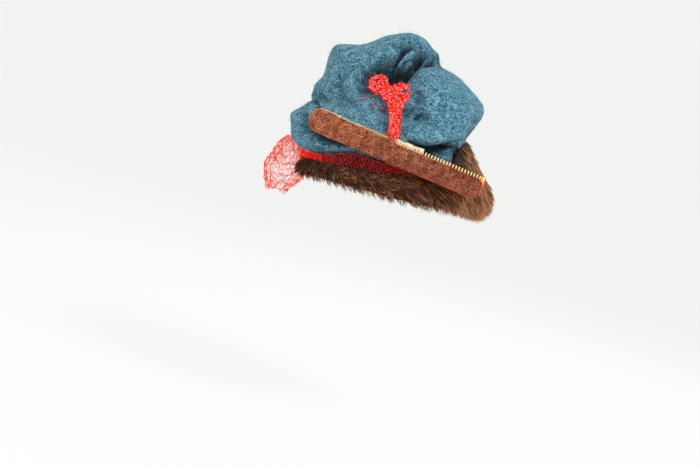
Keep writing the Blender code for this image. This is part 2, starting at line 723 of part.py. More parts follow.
def net_bow(frame, tree, finish):
    """Stem and two lobes of folded netting, joined into one solid."""
    foot = frame @ Vector((BOW_ACROSS - COMB_ACROSS, 0, COMB_HEIGHT / 2))
    arms = []
    for name, sections in (("net_bow", BOW_STEM), ("left_lobe", BOW_LEFT), ("right_lobe", BOW_RIGHT)):
        arms.append(loft(name, bow_rings(sections, foot, tree), finish))
    bow = arms[0]
    for arm in arms[1:]:
        arm.hide_render = True
        arm.display_type = "WIRE"
        union = bow.modifiers.new("join_" + arm.name, "BOOLEAN")
        union.operation = "UNION"
        union.object = arm
    return bow


def build():
    clear_scene()
    felt = material("wool_felt", (0.060, 0.160, 0.222), 0.95)
    fur = material("fur", (0.040, 0.018, 0.008), 0.85)
    netting = material("red_netting", (0.800, 0.012, 0.006), 0.60)
    plastic = material("orange_plastic", (1.000, 0.195, 0.042), 0.30)
    brown_felt = material("brown_felt", (0.275, 0.080, 0.048), 0.95)
    padding = material("white_padding", (0.800, 0.780, 0.720), 0.90)

    crown = felt_crown(felt)
    crown_tree = tree_of(crown)
    net_band(crown_tree, netting)
    band = fur_band(crown_tree, fur)
    net_puff(crown, band, netting)
    frame = comb_frame(tree_of(crown, band))
    comb(frame, plastic)
    comb_felt(frame, brown_felt)
    pad = glue_pad(frame, crown_tree, padding)
    net_bow(frame, tree_of(crown, pad), netting)


build()
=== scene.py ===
# %% [markdown]
# # A draped felt hat with a fur band
#
# The hat is a soft crown of blue wool felt, crushed into folds over a head, with brown fur round its
# edge, red netting between the two, and a comb with a felt front laid across it. This lesson dresses the
# plain solids of the hat: each piece is made again with its real surface, and sits where its solid sits.

# %% Load the plain solids
import math
from collections import namedtuple
from contextlib import contextmanager

import bpy
import bmesh
import numpy as np
from mathutils import Matrix, Quaternion, Vector
from mathutils.bvhtree import BVHTree


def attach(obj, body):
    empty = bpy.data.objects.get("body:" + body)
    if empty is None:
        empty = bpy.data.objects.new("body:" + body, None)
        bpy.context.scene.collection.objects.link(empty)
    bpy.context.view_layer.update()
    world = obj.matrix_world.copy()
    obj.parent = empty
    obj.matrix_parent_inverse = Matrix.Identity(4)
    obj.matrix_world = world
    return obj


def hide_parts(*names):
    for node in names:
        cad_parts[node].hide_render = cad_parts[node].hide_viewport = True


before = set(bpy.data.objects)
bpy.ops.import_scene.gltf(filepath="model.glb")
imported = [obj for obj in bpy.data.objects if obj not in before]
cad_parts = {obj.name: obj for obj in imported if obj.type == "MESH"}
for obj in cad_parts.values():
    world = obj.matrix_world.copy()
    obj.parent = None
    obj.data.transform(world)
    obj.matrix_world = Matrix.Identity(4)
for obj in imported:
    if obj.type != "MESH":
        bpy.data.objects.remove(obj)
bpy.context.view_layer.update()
print("solids:", sorted(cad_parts))

# %% [markdown]
# ## Small tools
#
# Blender's operators act on all that is selected, and the solids arrive selected, so each piece starts
# with nothing selected. The other helpers finish a piece: they apply its modifiers in order, read and
# move its points as arrays, and hand it to the frame.

# %% Helpers for modelling
MM = 0.001


def deselect():
    if bpy.context.object and bpy.context.object.mode != "OBJECT":
        bpy.ops.object.mode_set(mode="OBJECT")
    bpy.ops.object.select_all(action="DESELECT")


def take(obj):
    """Make one object the only selected one."""
    deselect()
    obj.select_set(True)
    bpy.context.view_layer.objects.active = obj


@contextmanager
def edit_mode(obj):
    """Edit mode with the whole mesh selected."""
    take(obj)
    bpy.ops.object.mode_set(mode="EDIT")
    bpy.ops.mesh.select_all(action="SELECT")
    yield
    bpy.ops.object.mode_set(mode="OBJECT")


def added(name):
    """Name the primitive that an operator has just added."""
    obj = bpy.context.object
    obj.name = name
    obj.data.name = name
    return obj


def modify(obj, kind, **settings):
    """Add a modifier with its settings, and apply it."""
    take(obj)
    modifier = obj.modifiers.new(kind.lower(), kind)
    for key, value in settings.items():
        setattr(modifier, key, value)
    bpy.ops.object.modifier_apply(modifier=modifier.name)


def cut_away(obj, kind, chosen):
    """Delete the chosen faces or points of a mesh; kind is FACE or VERT."""
    take(obj)
    bpy.ops.object.mode_set(mode="EDIT")
    bpy.ops.mesh.select_mode(type=kind)
    bpy.ops.mesh.select_all(action="DESELECT")
    bpy.ops.object.mode_set(mode="OBJECT")
    parts = obj.data.polygons if kind == "FACE" else obj.data.vertices
    parts.foreach_set("select", chosen)
    bpy.ops.object.mode_set(mode="EDIT")
    bpy.ops.mesh.delete(type=kind)
    bpy.ops.mesh.select_mode(type="VERT")
    bpy.ops.object.mode_set(mode="OBJECT")


def cut_from_grid(name, outline, cell):
    """A flat sheet in X and Y: a grid of cells, with those outside an outline deleted."""
    outline = np.array(outline, float)
    low, high = outline.min(0), outline.max(0)
    counts = np.ceil((high - low) / cell).astype(int)
    deselect()
    bpy.ops.mesh.primitive_grid_add(x_subdivisions=int(counts[0]), y_subdivisions=int(counts[1]), size=1)
    obj = added(name)
    points = points_of(obj)
    points[:, :2] = low + (points[:, :2] + 0.5) * (high - low)
    move_points(obj, points)
    middles = np.array([face.center[:2] for face in obj.data.polygons])
    inside = np.zeros(len(middles), bool)
    for (x0, y0), (x1, y1) in zip(outline, np.roll(outline, -1, axis=0)):
        crosses = (y0 > middles[:, 1]) != (y1 > middles[:, 1])
        at = x0 + (middles[:, 1] - y0) * (x1 - x0) / (y1 - y0 + 1e-12)
        inside ^= crosses & (middles[:, 0] < at)
    cut_away(obj, "FACE", ~inside)
    return obj


def tube_through(name, points, radius):
    """A round thread through some points, as a mesh."""
    curve = bpy.data.curves.new(name, "CURVE")
    curve.dimensions = "3D"
    curve.bevel_depth = radius
    curve.bevel_resolution = 1
    curve.use_fill_caps = True
    spline = curve.splines.new("NURBS")
    spline.points.add(len(points) - 1)
    for point, place in zip(spline.points, points):
        point.co = (*place, 1)
    spline.use_endpoint_u = True
    spline.order_u = 3
    obj = bpy.data.objects.new(name, curve)
    bpy.context.collection.objects.link(obj)
    take(obj)
    bpy.ops.object.convert(target="MESH")
    return bpy.context.object


def join(name, objs):
    """Several meshes as one piece."""
    take(objs[0])
    for obj in objs[1:]:
        obj.select_set(True)
    bpy.ops.object.join()
    return added(name)


def smooth(obj, degrees):
    take(obj)
    bpy.ops.object.shade_smooth_by_angle(angle=math.radians(degrees))


def copy_of(node, name):
    """A merged copy of one of the plain solids."""
    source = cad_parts[node]
    obj = bpy.data.objects.new(name, source.data.copy())
    bpy.context.collection.objects.link(obj)
    obj.data.name = name
    obj.data.materials.clear()
    with edit_mode(obj):
        bpy.ops.mesh.remove_doubles(threshold=0.02 * MM)
    return obj


def unit(vectors):
    return vectors / np.linalg.norm(vectors, axis=-1, keepdims=True)


def points_of(obj):
    flat = np.empty(3 * len(obj.data.vertices))
    obj.data.vertices.foreach_get("co", flat)
    return flat.reshape(-1, 3)


def move_points(obj, points):
    obj.data.vertices.foreach_set("co", np.asarray(points).ravel())
    obj.data.update()


def put_in_order(obj):
    """Sort a mesh's faces by their corners: a sphere has them in another order in each session."""
    points = points_of(obj).tolist()
    rings = [tuple(face.vertices) for face in obj.data.polygons]
    starts = [ring.index(min(ring)) for ring in rings]
    faces = sorted(ring[start:] + ring[:start] for ring, start in zip(rings, starts))
    obj.data.clear_geometry()
    obj.data.from_pydata(points, [], faces)


def give_values(obj, name, values):
    """Store one number for each point, for the material to read."""
    layer = obj.data.attributes.new(name, "FLOAT", "POINT")
    layer.data.foreach_set("value", np.asarray(values, float))


def hand_over(obj, material, slot, *nodes):
    """Finish a piece: its material and the solids that it stands for. The slot argument is not used."""
    obj.data.materials.clear()
    obj.data.materials.append(material)
    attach(obj, "root")
    if nodes:
        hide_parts(*nodes)
    triangles = sum(len(face.vertices) - 2 for face in obj.data.polygons)
    print(f"{obj.name}: {triangles} triangles")


# %% [markdown]
# ## Strands
#
# Fur and the fuzz of felt are thousands of hairs. Hair curves would do in a picture, but a mesh can be
# printed, lit and exported, so each hair is a three-sided tube that tapers to a point and bends over.

# %% Helper for hairs
def hairs(name, roots, ways, bends, lengths, width, rows=4, seed=1, lightness=0.5):
    """Hairs from roots along ways, bent sideways towards bends, as one mesh with tone and along."""
    chance = np.random.default_rng(seed)
    count = len(roots)
    shares = np.linspace(0, 1, rows)
    side = np.cross(ways, bends + 1e-4)
    side /= np.linalg.norm(side, axis=1)[:, None] + 1e-9
    other = np.cross(ways, side)
    spine = roots[:, None] + lengths[:, None, None] * (
        ways[:, None] * shares[None, :, None] + bends[:, None] * (shares**2)[None, :, None]
    )
    spin = chance.uniform(0, 2 * math.pi, count)
    radius = width[:, None] / 2 * (1 - shares[None] ** 2 * 0.85)
    rings = []
    for k in range(3):
        turn = spin + 2 * math.pi * k / 3
        out = side * np.cos(turn)[:, None] + other * np.sin(turn)[:, None]
        rings.append(spine + out[:, None] * radius[:, :, None])
    verts = np.stack(rings, 2)
    index = np.arange(count * rows * 3).reshape(count, rows, 3)
    sides = []
    for k in range(3):
        n = (k + 1) % 3
        quad = np.stack([index[:, :-1, k], index[:, :-1, n], index[:, 1:, n], index[:, 1:, k]], -1)
        sides.append(quad.reshape(-1, 4))
    faces = np.concatenate(sides).tolist()
    faces += index[:, 0, ::-1].tolist() + index[:, -1].tolist()
    mesh = bpy.data.meshes.new(name)
    mesh.from_pydata(verts.reshape(-1, 3).tolist(), [], faces)
    obj = bpy.data.objects.new(name, mesh)
    bpy.context.collection.objects.link(obj)
    tones = np.clip(chance.uniform(-0.5, 0.5, count) + lightness, 0, 1)
    give_values(obj, "tone", np.repeat(tones, rows * 3))
    give_values(obj, "along", np.tile(np.repeat(shares, 3), count))
    return obj


def scatter(obj, count, seed, keep=None):
    """Random places on a mesh, by area, with their normals; keep chooses among its faces."""
    chance = np.random.default_rng(seed)
    mesh = obj.data
    mesh.calc_loop_triangles()
    corners = np.array([t.vertices for t in mesh.loop_triangles])
    a, b, c = (points_of(obj)[corners[:, k]] for k in range(3))
    cross = np.cross(b - a, c - a)
    area = np.linalg.norm(cross, axis=1) / 2
    normals = cross / (2 * area[:, None] + 1e-12)
    weight = area * (keep((a + b + c) / 3, normals) if keep else 1)
    chosen = chance.choice(len(area), count, p=weight / weight.sum())
    u, v = chance.uniform(0, 1, (2, count))
    flip = u + v > 1
    u, v = np.where(flip, 1 - u, u), np.where(flip, 1 - v, v)
    places = a[chosen] + u[:, None] * (b - a)[chosen] + v[:, None] * (c - a)[chosen]
    return places, normals[chosen]


# %% [markdown]
# ## Helpers for finishes
#
# Colours are picked as screen colours, and Blender mixes light in linear values, so one function turns
# hex into linear. Another adds a node with its settings and links, which keeps each material readable as
# a list of what happens to the light. Two plain kinds of material come back more than once here.

# %% Helpers for materials
def linear(hex_colour):
    """A screen colour such as #4a7080 as linear red, green, blue and alpha."""
    values = [int(hex_colour[i : i + 2], 16) / 255 for i in (1, 3, 5)]
    return [v / 12.92 if v <= 0.04045 else ((v + 0.055) / 1.055) ** 2.4 for v in values] + [1.0]


def connect(made, **inputs):
    """Set or link a node's inputs: _0 is the first one, and other underscores stand for spaces."""
    for key, value in inputs.items():
        socket = made.inputs[int(key[1:])] if key[0] == "_" else made.inputs[key.replace("_", " ")]
        if isinstance(value, bpy.types.NodeSocket):
            made.id_data.links.new(value, socket)
        else:
            socket.default_value = value


def node(material, kind, settings=None, stops=(), **inputs):
    """Add a node. Inputs are values or sockets to link; stops are places and colours on its ramp."""
    made = material.node_tree.nodes.new("ShaderNode" + kind)
    for key, value in (settings or {}).items():
        setattr(made, key, value)
    for _ in stops[2:]:
        made.color_ramp.elements.new(0.5)
    for element, (place, colour) in zip(made.color_ramp.elements if stops else (), stops):
        element.position = place
        element.color = linear(colour)
    connect(made, **inputs)
    return made


def new_material(name):
    material = bpy.data.materials.new(name)
    material.use_nodes = True
    return material


def set_shader(material, **inputs):
    """Set or link the inputs of a material's own shader."""
    connect(material.node_tree.nodes["Principled BSDF"], **inputs)


def speckled_material(name, speck_mm, detail, stops, **inputs):
    """The colours of a ramp in random specks; gives the specks too, for what else they drive."""
    material = new_material(name)
    place = node(material, "TexCoord").outputs["Object"]
    specks = node(material, "TexNoise", Vector=place, Scale=1 / (speck_mm * MM), Detail=detail)
    colour = node(material, "ValToRGB", stops=stops, Fac=specks.outputs["Fac"])
    set_shader(material, Base_Color=colour.outputs["Color"], **inputs)
    return material, specks


def fibre_material(name, stops, gloss):
    """Loose dyed wool, each fibre in a tone of its own."""
    material = new_material(name)
    tone = node(material, "Attribute", {"attribute_name": "tone"})
    colour = node(material, "ValToRGB", stops=stops, Fac=tone.outputs["Fac"])
    set_shader(material, Base_Color=colour.outputs["Color"], Roughness=0.9, Specular_IOR_Level=gloss)
    return material


# %% [markdown]
# ## Where the camera stands
#
# The hat tips 15 degrees to the right in the picture, and its rim is seen almost edge on. The hat's own
# axes stay level here and the camera rolls instead. One pixel of the photograph is 1.05 mm at the middle
# of the hat, which sets how far away an 85 mm lens stands.

# %% Camera
PICTURE_WIDE = 700
PICTURE_HIGH = 467
MIDDLE_PIXEL = (378.5, 190.3)
LENS_MM = 85
SENSOR_MM = 36
METRES_PER_PIXEL = 1.05 * MM
CAMERA_ROLL = math.radians(15)
CAMERA_RISE = math.radians(2)

focal_pixels = LENS_MM / SENSOR_MM * PICTURE_WIDE
distance = METRES_PER_PIXEL * focal_pixels
ahead = Vector((0, math.cos(CAMERA_RISE), -math.sin(CAMERA_RISE)))
deselect()
bpy.ops.object.camera_add(location=-ahead * distance)
camera = bpy.context.object
camera.name = "camera"
camera.data.lens = LENS_MM
camera.data.sensor_width = SENSOR_MM
to_middle = Vector(
    (
        (MIDDLE_PIXEL[0] - PICTURE_WIDE / 2) / focal_pixels,
        (PICTURE_HIGH / 2 - MIDDLE_PIXEL[1]) / focal_pixels,
        -1,
    )
)
aside = Vector((0, 0, -1)).rotation_difference(to_middle.normalized())
level = ahead.to_track_quat("-Z", "Y")
camera.rotation_mode = "QUATERNION"
camera.rotation_quaternion = level @ Quaternion((0, 0, 1), CAMERA_ROLL) @ aside.inverted()
bpy.context.scene.camera = camera
bpy.context.scene.view_settings.view_transform = "Standard"
print(f"camera stands {distance:.3f} m away")

# %% [markdown]
# ## Floor and light
#
# The hat was photographed on white paper, lit softly from the front and the right. A round floor whose
# edge sweeps up into a wall gives the same white from every side. It is made by spinning a profile. The
# hat is held up as on a head, so the floor lies well below it.

# %% Floor
FLOOR_UP = -0.26
FLOOR_RADIUS = 4.0
SWEEP_RADIUS = 1.5
WALL_TOP = 5.0

deselect()
bpy.ops.mesh.primitive_plane_add(size=1)
paper = added("paper")
with edit_mode(paper):
    bpy.ops.mesh.delete(type="VERT")
sweep = [(0, FLOOR_UP)]
for step in range(13):
    turn = math.radians(7.5 * step)
    out = FLOOR_RADIUS - SWEEP_RADIUS + SWEEP_RADIUS * math.sin(turn)
    sweep.append((out, FLOOR_UP + SWEEP_RADIUS * (1 - math.cos(turn))))
sweep.append((FLOOR_RADIUS, WALL_TOP))
steps = [(i, i + 1) for i in range(len(sweep) - 1)]
paper.data.from_pydata([(out, 0, up) for out, up in sweep], steps, [])
with edit_mode(paper):
    bpy.ops.mesh.spin(steps=96, angle=2 * math.pi, center=(0, 0, 0), axis=(0, 0, 1))
    bpy.ops.mesh.remove_doubles(threshold=1 * MM)
    bpy.ops.mesh.normals_make_consistent(inside=True)
smooth(paper, 60)
# Matt paper gives no reflection. Most of its white is glow, so that it stays even from edge to edge
white_paper = new_material("matt_white_paper")
glow = {"Emission_Color": linear("#f8f9f6"), "Emission_Strength": 0.68}
set_shader(white_paper, Base_Color=linear("#929494"), Roughness=0.95, **glow)
paper.data.materials.append(white_paper)

# %% Lights
LIGHT_AIM = Vector((0, 0, 0.07))
Lamp = namedtuple("Lamp", "name place size watts colour")
LAMPS = [
    Lamp("key", (0.75, -1.25, 1.35), 0.6, 18, "#f6fbff"),
    Lamp("fill", (-1.3, -1.2, 0.6), 0.9, 5.2, "#ffebdc"),
    Lamp("back", (0.4, 1.4, 1.2), 1.2, 7, "#ffffff"),
]
for lamp in LAMPS:
    deselect()
    bpy.ops.object.light_add(type="AREA", location=lamp.place)
    light = bpy.context.object
    light.name = lamp.name
    light.data.size = lamp.size
    light.data.energy = lamp.watts
    light.data.color = linear(lamp.colour)[:3]
    towards = LIGHT_AIM - Vector(lamp.place)
    light.rotation_mode = "QUATERNION"
    light.rotation_quaternion = towards.to_track_quat("-Z", "Y")
world = bpy.data.worlds.new("studio")
world.use_nodes = True
world.node_tree.nodes["Background"].inputs["Color"].default_value = linear("#eef3f6")
world.node_tree.nodes["Background"].inputs["Strength"].default_value = 0.45
bpy.context.scene.world = world

# %% [markdown]
# ## The crown's form
#
# A hat like this is blocked from one felt hood and crushed by hand, so it has soft lobes with creases
# between them. It could be sculpted, but the plain solid already blends eleven rounded lobes, a roll and a
# hollow mouth, so the same sizes are used here: rays leave the middle of the crown, meet the lobes, and
# folds then raise or sink the place that they meet. The lesson only meets them at many more places.

# %% Sizes of the crown, as in the plain solid
HEAD_WIDTH = 0.155
HEAD_DEPTH = 0.189
HEAD_RISE = 0.093
FELT_WALL = 0.0025
NECK_EDGE = 0.004
CROWN_WIDTH = 0.200
CROWN_DEPTH = 0.210
CROWN_HEIGHT = 0.167
CROWN_SIZES = np.array([CROWN_WIDTH / 2, CROWN_DEPTH / 2, CROWN_HEIGHT])
NECK_SIZES = np.array([HEAD_WIDTH / 2 + FELT_WALL, HEAD_DEPTH / 2 + FELT_WALL, HEAD_RISE])
RAY_START = np.array([-0.05, 0.0, 0.42]) * CROWN_SIZES

# Places and half sizes are shares of half the crown's width, half its depth and its height
Lobe = namedtuple("Lobe", "name across back up half_across half_back half_up lean blend")
LOBES = [
    Lobe("body", -0.10, 0.02, 0.50, 0.74, 0.80, 0.27, 6, 0.14),
    Lobe("left_bump", -0.60, 0.00, 0.52, 0.33, 0.50, 0.11, 0, 0.07),
    Lobe("top_left", -0.44, 0.02, 0.66, 0.42, 0.60, 0.19, 8, 0.12),
    Lobe("top_ridge", -0.14, -0.06, 0.815, 0.40, 0.50, 0.165, -18, 0.12),
    Lobe("end_roll", 0.17, -0.14, 0.885, 0.10, 0.30, 0.05, 10, 0.03),
    Lobe("right", 0.325, 0.00, 0.605, 0.570, 0.74, 0.23, 24, 0.12),
    Lobe("front_left", -0.36, -0.46, 0.46, 0.34, 0.33, 0.19, 0, 0.10),
    Lobe("front_right", 0.29, -0.44, 0.46, 0.44, 0.34, 0.15, 0, 0.10),
    Lobe("under_right", 0.20, -0.20, 0.26, 0.48, 0.64, 0.13, 0, 0.12),
    Lobe("back_left", -0.25, 0.45, 0.52, 0.55, 0.45, 0.28, 0, 0.12),
    Lobe("back_right", 0.26, 0.42, 0.45, 0.50, 0.50, 0.24, 0, 0.12),
]
MOUTH = Lobe("mouth", -0.27, -0.78, 0.69, 0.26, 0.34, 0.09, -37, 0.08)

# The roll that hangs over the neck: its path, its half sizes, and where it is thickest
ROLL_ACROSS = 0.78
ROLL_BACK = 0.80
ROLL_UP = 0.285
ROLL_RISE = 0.08
ROLL_HALF_OUT = 0.27
ROLL_HALF_UP = 0.150
ROLL_MIDDLE = 200
ROLL_SPREAD = 125
ROLL_THINNEST = 0.18
ROLL_SQUARENESS = 2.5
ROLL_BLEND = 0.05
ROLL_FADE = 0.8

# Folds from one direction to another, seen from the crown's middle: azimuth and polar in degrees, half
# width and height in shares of half the crown's width, and near 1 the sharpness makes a crease
Fold = namedtuple("Fold", "name azimuth polar to_azimuth to_polar half_width height sharpness")
FOLDS = [
    Fold("mouth_floor", -120, 72, -98, 46, 0.10, -0.16, 1.6),
    Fold("mouth_lip", -130, 56, -98, 33, 0.09, 0.05, 2.0),
    Fold("long_crease", -100, 45, -66, 29, 0.06, -0.15, 1.1),
    Fold("end_crease", -68, 29, -20, 33, 0.035, -0.06, 1.2),
    Fold("top_valley", -112, 42, -84, 24, 0.06, -0.07, 1.4),
    Fold("column_high", -146, 55, -139, 72, 0.06, -0.05, 1.6),
    Fold("column_low", -139, 72, -116, 90, 0.06, -0.05, 1.6),
    Fold("stem_high", -98, 52, -84, 76, 0.10, -0.08, 1.6),
    Fold("stem_low", -84, 76, -86, 100, 0.09, -0.08, 1.6),
    Fold("right_dent", -77, 62, -72, 72, 0.08, -0.04, 2.0),
    Fold("right_low_dent", -74, 82, -64, 86, 0.08, -0.05, 2.0),
    Fold("under_crease", -84, 101, -40, 94, 0.06, -0.12, 1.2),
    Fold("roll_crease", -160, 92, -130, 105, 0.06, -0.10, 1.3),
    Fold("roll_crease_front", -130, 105, -92, 103, 0.07, -0.08, 1.3),
    Fold("back_valley", 60, 30, 110, 88, 0.10, -0.10, 1.4),
    Fold("back_crease", 150, 50, 128, 96, 0.08, -0.08, 1.3),
    Fold("right_back_crease", 10, 60, 40, 100, 0.08, -0.07, 1.3),
]


# %% How far a place is from the lobes
def ellipsoid_gap(points, centre, radii, lean=0.0):
    a = math.radians(lean)
    own_axes = np.array([[math.cos(a), 0, math.sin(a)], [0, 1, 0], [-math.sin(a), 0, math.cos(a)]])
    local = ((points - centre) @ own_axes) / radii
    length = np.linalg.norm(local, axis=-1) + 1e-9
    slope = np.linalg.norm(local / radii, axis=-1) / length
    return (length - 1) / np.maximum(slope, 1e-6)


def lobe_gap(points, lobe):
    centre = np.array([lobe.across, lobe.back, lobe.up]) * CROWN_SIZES
    radii = np.array([lobe.half_across, lobe.half_back, lobe.half_up]) * CROWN_SIZES
    return ellipsoid_gap(points, centre, radii, lobe.lean)


def roll_gap(points):
    """Distance to the roll, an upright oval tube bent round the neck."""
    x = points[..., 0] / (ROLL_ACROSS * CROWN_SIZES[0])
    y = points[..., 1] / (ROLL_BACK * CROWN_SIZES[1])
    around = (np.abs(x) ** ROLL_SQUARENESS + np.abs(y) ** ROLL_SQUARENESS) ** (1 / ROLL_SQUARENESS)
    off = (np.degrees(np.arctan2(y, x)) - ROLL_MIDDLE + 180) % 360 - 180
    fade = np.cos(np.radians(90 * np.clip(off / ROLL_SPREAD, -1, 1))) ** ROLL_FADE
    thin = ROLL_THINNEST + (1 - ROLL_THINNEST) * fade
    half_out = ROLL_HALF_OUT * CROWN_SIZES[0] * thin
    half_up = ROLL_HALF_UP * CROWN_SIZES[2] * thin
    middle_up = (ROLL_UP + ROLL_RISE * (x / np.maximum(around, 1e-6) + 1)) * CROWN_SIZES[2]
    out = (around - 1) * ROLL_ACROSS * CROWN_SIZES[0]
    size = np.sqrt((out / half_out) ** 2 + ((points[..., 2] - middle_up) / half_up) ** 2)
    return (size - 1) * np.minimum(half_out, half_up)


def soft_min(a, b, reach):
    share = np.clip(0.5 + 0.5 * (b - a) / reach, 0, 1)
    return b + (a - b) * share - reach * share * (1 - share)


def crown_gap(points):
    half_width = CROWN_SIZES[0]
    gap = ellipsoid_gap(points, np.zeros(3), NECK_SIZES)
    for lobe in LOBES:
        gap = soft_min(gap, lobe_gap(points, lobe), lobe.blend * half_width)
    gap = soft_min(gap, roll_gap(points), ROLL_BLEND * half_width)
    return -soft_min(-gap, lobe_gap(points, MOUTH), MOUTH.blend * half_width)


# %% Rays that meet the lobes, and folds on them
FOLD_STEPS = 8
FOLD_END_SHARE = 0.15
RAY_STEPS = 60
RAY_REACH = 1.3


def meet_lobes(directions):
    """Outermost points where rays from the crown's middle leave the lobes."""
    far = RAY_REACH * float(np.linalg.norm(CROWN_SIZES))
    step = far / RAY_STEPS
    reach = np.full(directions.shape[:-1], step)
    open_rays = np.ones(directions.shape[:-1], bool)
    for ray_distance in np.arange(far, step, -step):
        inside = crown_gap(RAY_START + directions * ray_distance) <= 0
        reach = np.where(open_rays & inside, ray_distance, reach)
        open_rays &= ~inside
    low, high = reach, reach + step
    for _ in range(12):
        middle = (low + high) / 2
        inside = crown_gap(RAY_START + directions * middle[..., None]) <= 0
        low, high = np.where(inside, middle, low), np.where(inside, high, middle)
    return RAY_START + directions * low[..., None]


def aim(azimuth, polar):
    a, p = np.radians(azimuth), np.radians(polar)
    return np.stack([np.sin(p) * np.cos(a), np.sin(p) * np.sin(a), np.cos(p)], -1)


def near_path(points, path, end_share):
    """Distance to a path, its strength there, which fades to a share at both ends, and the side."""
    nearest = np.full(len(points), np.inf)
    place = np.zeros(len(points))
    left = np.zeros(len(points))
    steps = len(path) - 1
    for i in range(steps):
        run = path[i + 1] - path[i]
        share = np.clip(((points - path[i]) @ run) / (run @ run), 0, 1)
        gap = points - path[i] - share[:, None] * run
        off = np.linalg.norm(gap, axis=1)
        closer = off < nearest
        place = np.where(closer, (i + share) / steps, place)
        left = np.where(closer, run[0] * gap[:, 1] - run[1] * gap[:, 0], left)
        nearest = np.minimum(nearest, off)
    return nearest, end_share + (1 - end_share) * np.sqrt(np.clip(4 * place * (1 - place), 0, 1)), left


def fold_lift(points, fold):
    """Height in metres that one fold adds at points on the lobes, fading at its two ends."""
    ends = aim(np.array([fold.azimuth, fold.to_azimuth]), np.array([fold.polar, fold.to_polar]))
    shares = np.linspace(0, 1, FOLD_STEPS + 1)[:, None]
    path = meet_lobes(unit(ends[0] * (1 - shares) + ends[1] * shares))
    nearest, strength, _ = near_path(points, path, FOLD_END_SHARE)
    width = fold.half_width * CROWN_SIZES[0]
    return fold.height * CROWN_SIZES[0] * strength * np.exp(-((nearest / width) ** fold.sharpness))


# %% [markdown]
# The solid shows the main folds. Soft felt also pinches into creases between them, where one fold rolls
# over the next. Those are drawn as lines on the front of the hat, in millimetres across and up: each one
# sinks a narrow valley, and swells the felt beside it into a lip. Pushes move the outline a little.

# %% Creases and pushes that only the dressed crown has
CREASE_END_SHARE = 0.25
FRONT_FROM_MM = 4
FRONT_FULL_MM = 26

# The lip is on the left of the line as it runs
Crease = namedtuple("Crease", "name width depth lip lip_width path")
CREASES = [
    Crease("main", 2.6, 19, 6.0, 7,
           [(-6, 113), (-4, 117), (-1, 125), (3, 133), (7, 140), (8, 144), (9, 149)]),
    Crease("knob_under", 2.0, 9, 5.0, 5, [(8, 139), (14, 139), (19, 141), (24, 146)]),
    Crease("knob_over", 2.5, 4.0, 0.0, 1, [(9, 149), (13, 153), (17, 153)]),
    Crease("second", 3.2, 13, 4.0, 8,
           [(-24, 122), (-22, 128), (-17, 138), (-12, 148), (-3, 156), (12, 158)]),
    Crease("mouth", 9.0, 22, 0.0, 1,
           [(-43, 99), (-40, 104), (-36, 110), (-27, 115), (-12, 119), (-6, 118)]),
    Crease("column", 2.4, 3.5, 2.5, 6,
           [(-45, 62), (-55, 73), (-60, 82), (-65, 92), (-69, 104), (-73, 116)]),
    Crease("bump", 3.0, 10, 3.0, 6, [(-90, 84), (-86, 73), (-80, 65), (-72, 58)]),
    Crease("roll", 3.0, 13, 4.0, 8, [(-40, 40), (-54, 39), (-65, 38), (-75, 40), (-84, 43), (-90, 52)]),
    Crease("dent", 5.0, 6.0, 0.0, 1, [(13, 110), (16, 103), (18, 98)]),
    Crease("low_dent", 6.0, 6.5, 0.0, 1, [(15, 80), (23, 83), (31, 82)]),
    Crease("under", 2.6, 13, 4.0, 8, [(16, 55), (26, 54), (33, 53), (43, 57), (54, 63), (66, 70)]),
    Crease("by_stem", 5.0, 5, 0.0, 1, [(-14, 80), (-11, 68), (-6, 58)]),
    Crease("right_of_stem", 5.0, 4, 0.0, 1, [(6, 76), (9, 88), (9, 96)]),
    Crease("side", 3.0, 3.5, 1.5, 5, [(90, 98), (82, 95), (74, 97)]),
    Crease("upper_side", 2.5, 3.0, 1.0, 4, [(90, 111), (80, 109), (72, 110)]),
]
# Where the felt under the top ridge never sees the light
MOUTH_DARK = Crease("mouth_dark", 8.0, 0.85, 0.0, 1,
                    [(-44, 108), (-30, 116), (-14, 120), (-1, 122), (5, 133)])
Push = namedtuple("Push", "name across up radius out")
PUSHES = [
    Push("top_right", 30, 155, 13, -5.0),
    Push("knob", 21, 150, 7, 2.5),
    Push("left_shoulder", -84, 136, 14, 8.0),
    Push("left_notch", -86, 73, 9, 7.0),
    Push("right_low", 80, 76, 14, -10.0),
    Push("roll_corner", -103, 55, 8, 4.5),
    Push("right_out", 84, 114, 14, 4.5),
    Push("right_under", 85, 90, 10, -4.5),
]


def crease_lift(points, crease):
    """What one crease adds to the reach of the front's points, in metres."""
    path = np.array(crease.path, float)
    nearest, strength, left = near_path(points[:, (0, 2)] / MM, path, CREASE_END_SHARE)
    front = np.clip((-points[:, 1] / MM - FRONT_FROM_MM) / (FRONT_FULL_MM - FRONT_FROM_MM), 0, 1)
    valley = -crease.depth * np.exp(-((nearest / crease.width) ** 1.3))
    swell = crease.lip * np.exp(-(((nearest - crease.lip_width) / (0.8 * crease.lip_width)) ** 2))
    swell *= (left > 0) * (1 - np.exp(-((nearest / crease.width) ** 2)))
    return (valley + swell) * strength * front * MM


def push_lift(points, directions, push):
    """What one push adds, most where the crown is seen edge on from the front."""
    off = np.hypot(points[:, 0] / MM - push.across, points[:, 2] / MM - push.up)
    sideways = np.clip(1.5 - 1.7 * np.abs(directions[:, 1]), 0, 1)
    return push.out * MM * np.exp(-((off / push.radius) ** 2)) * sideways


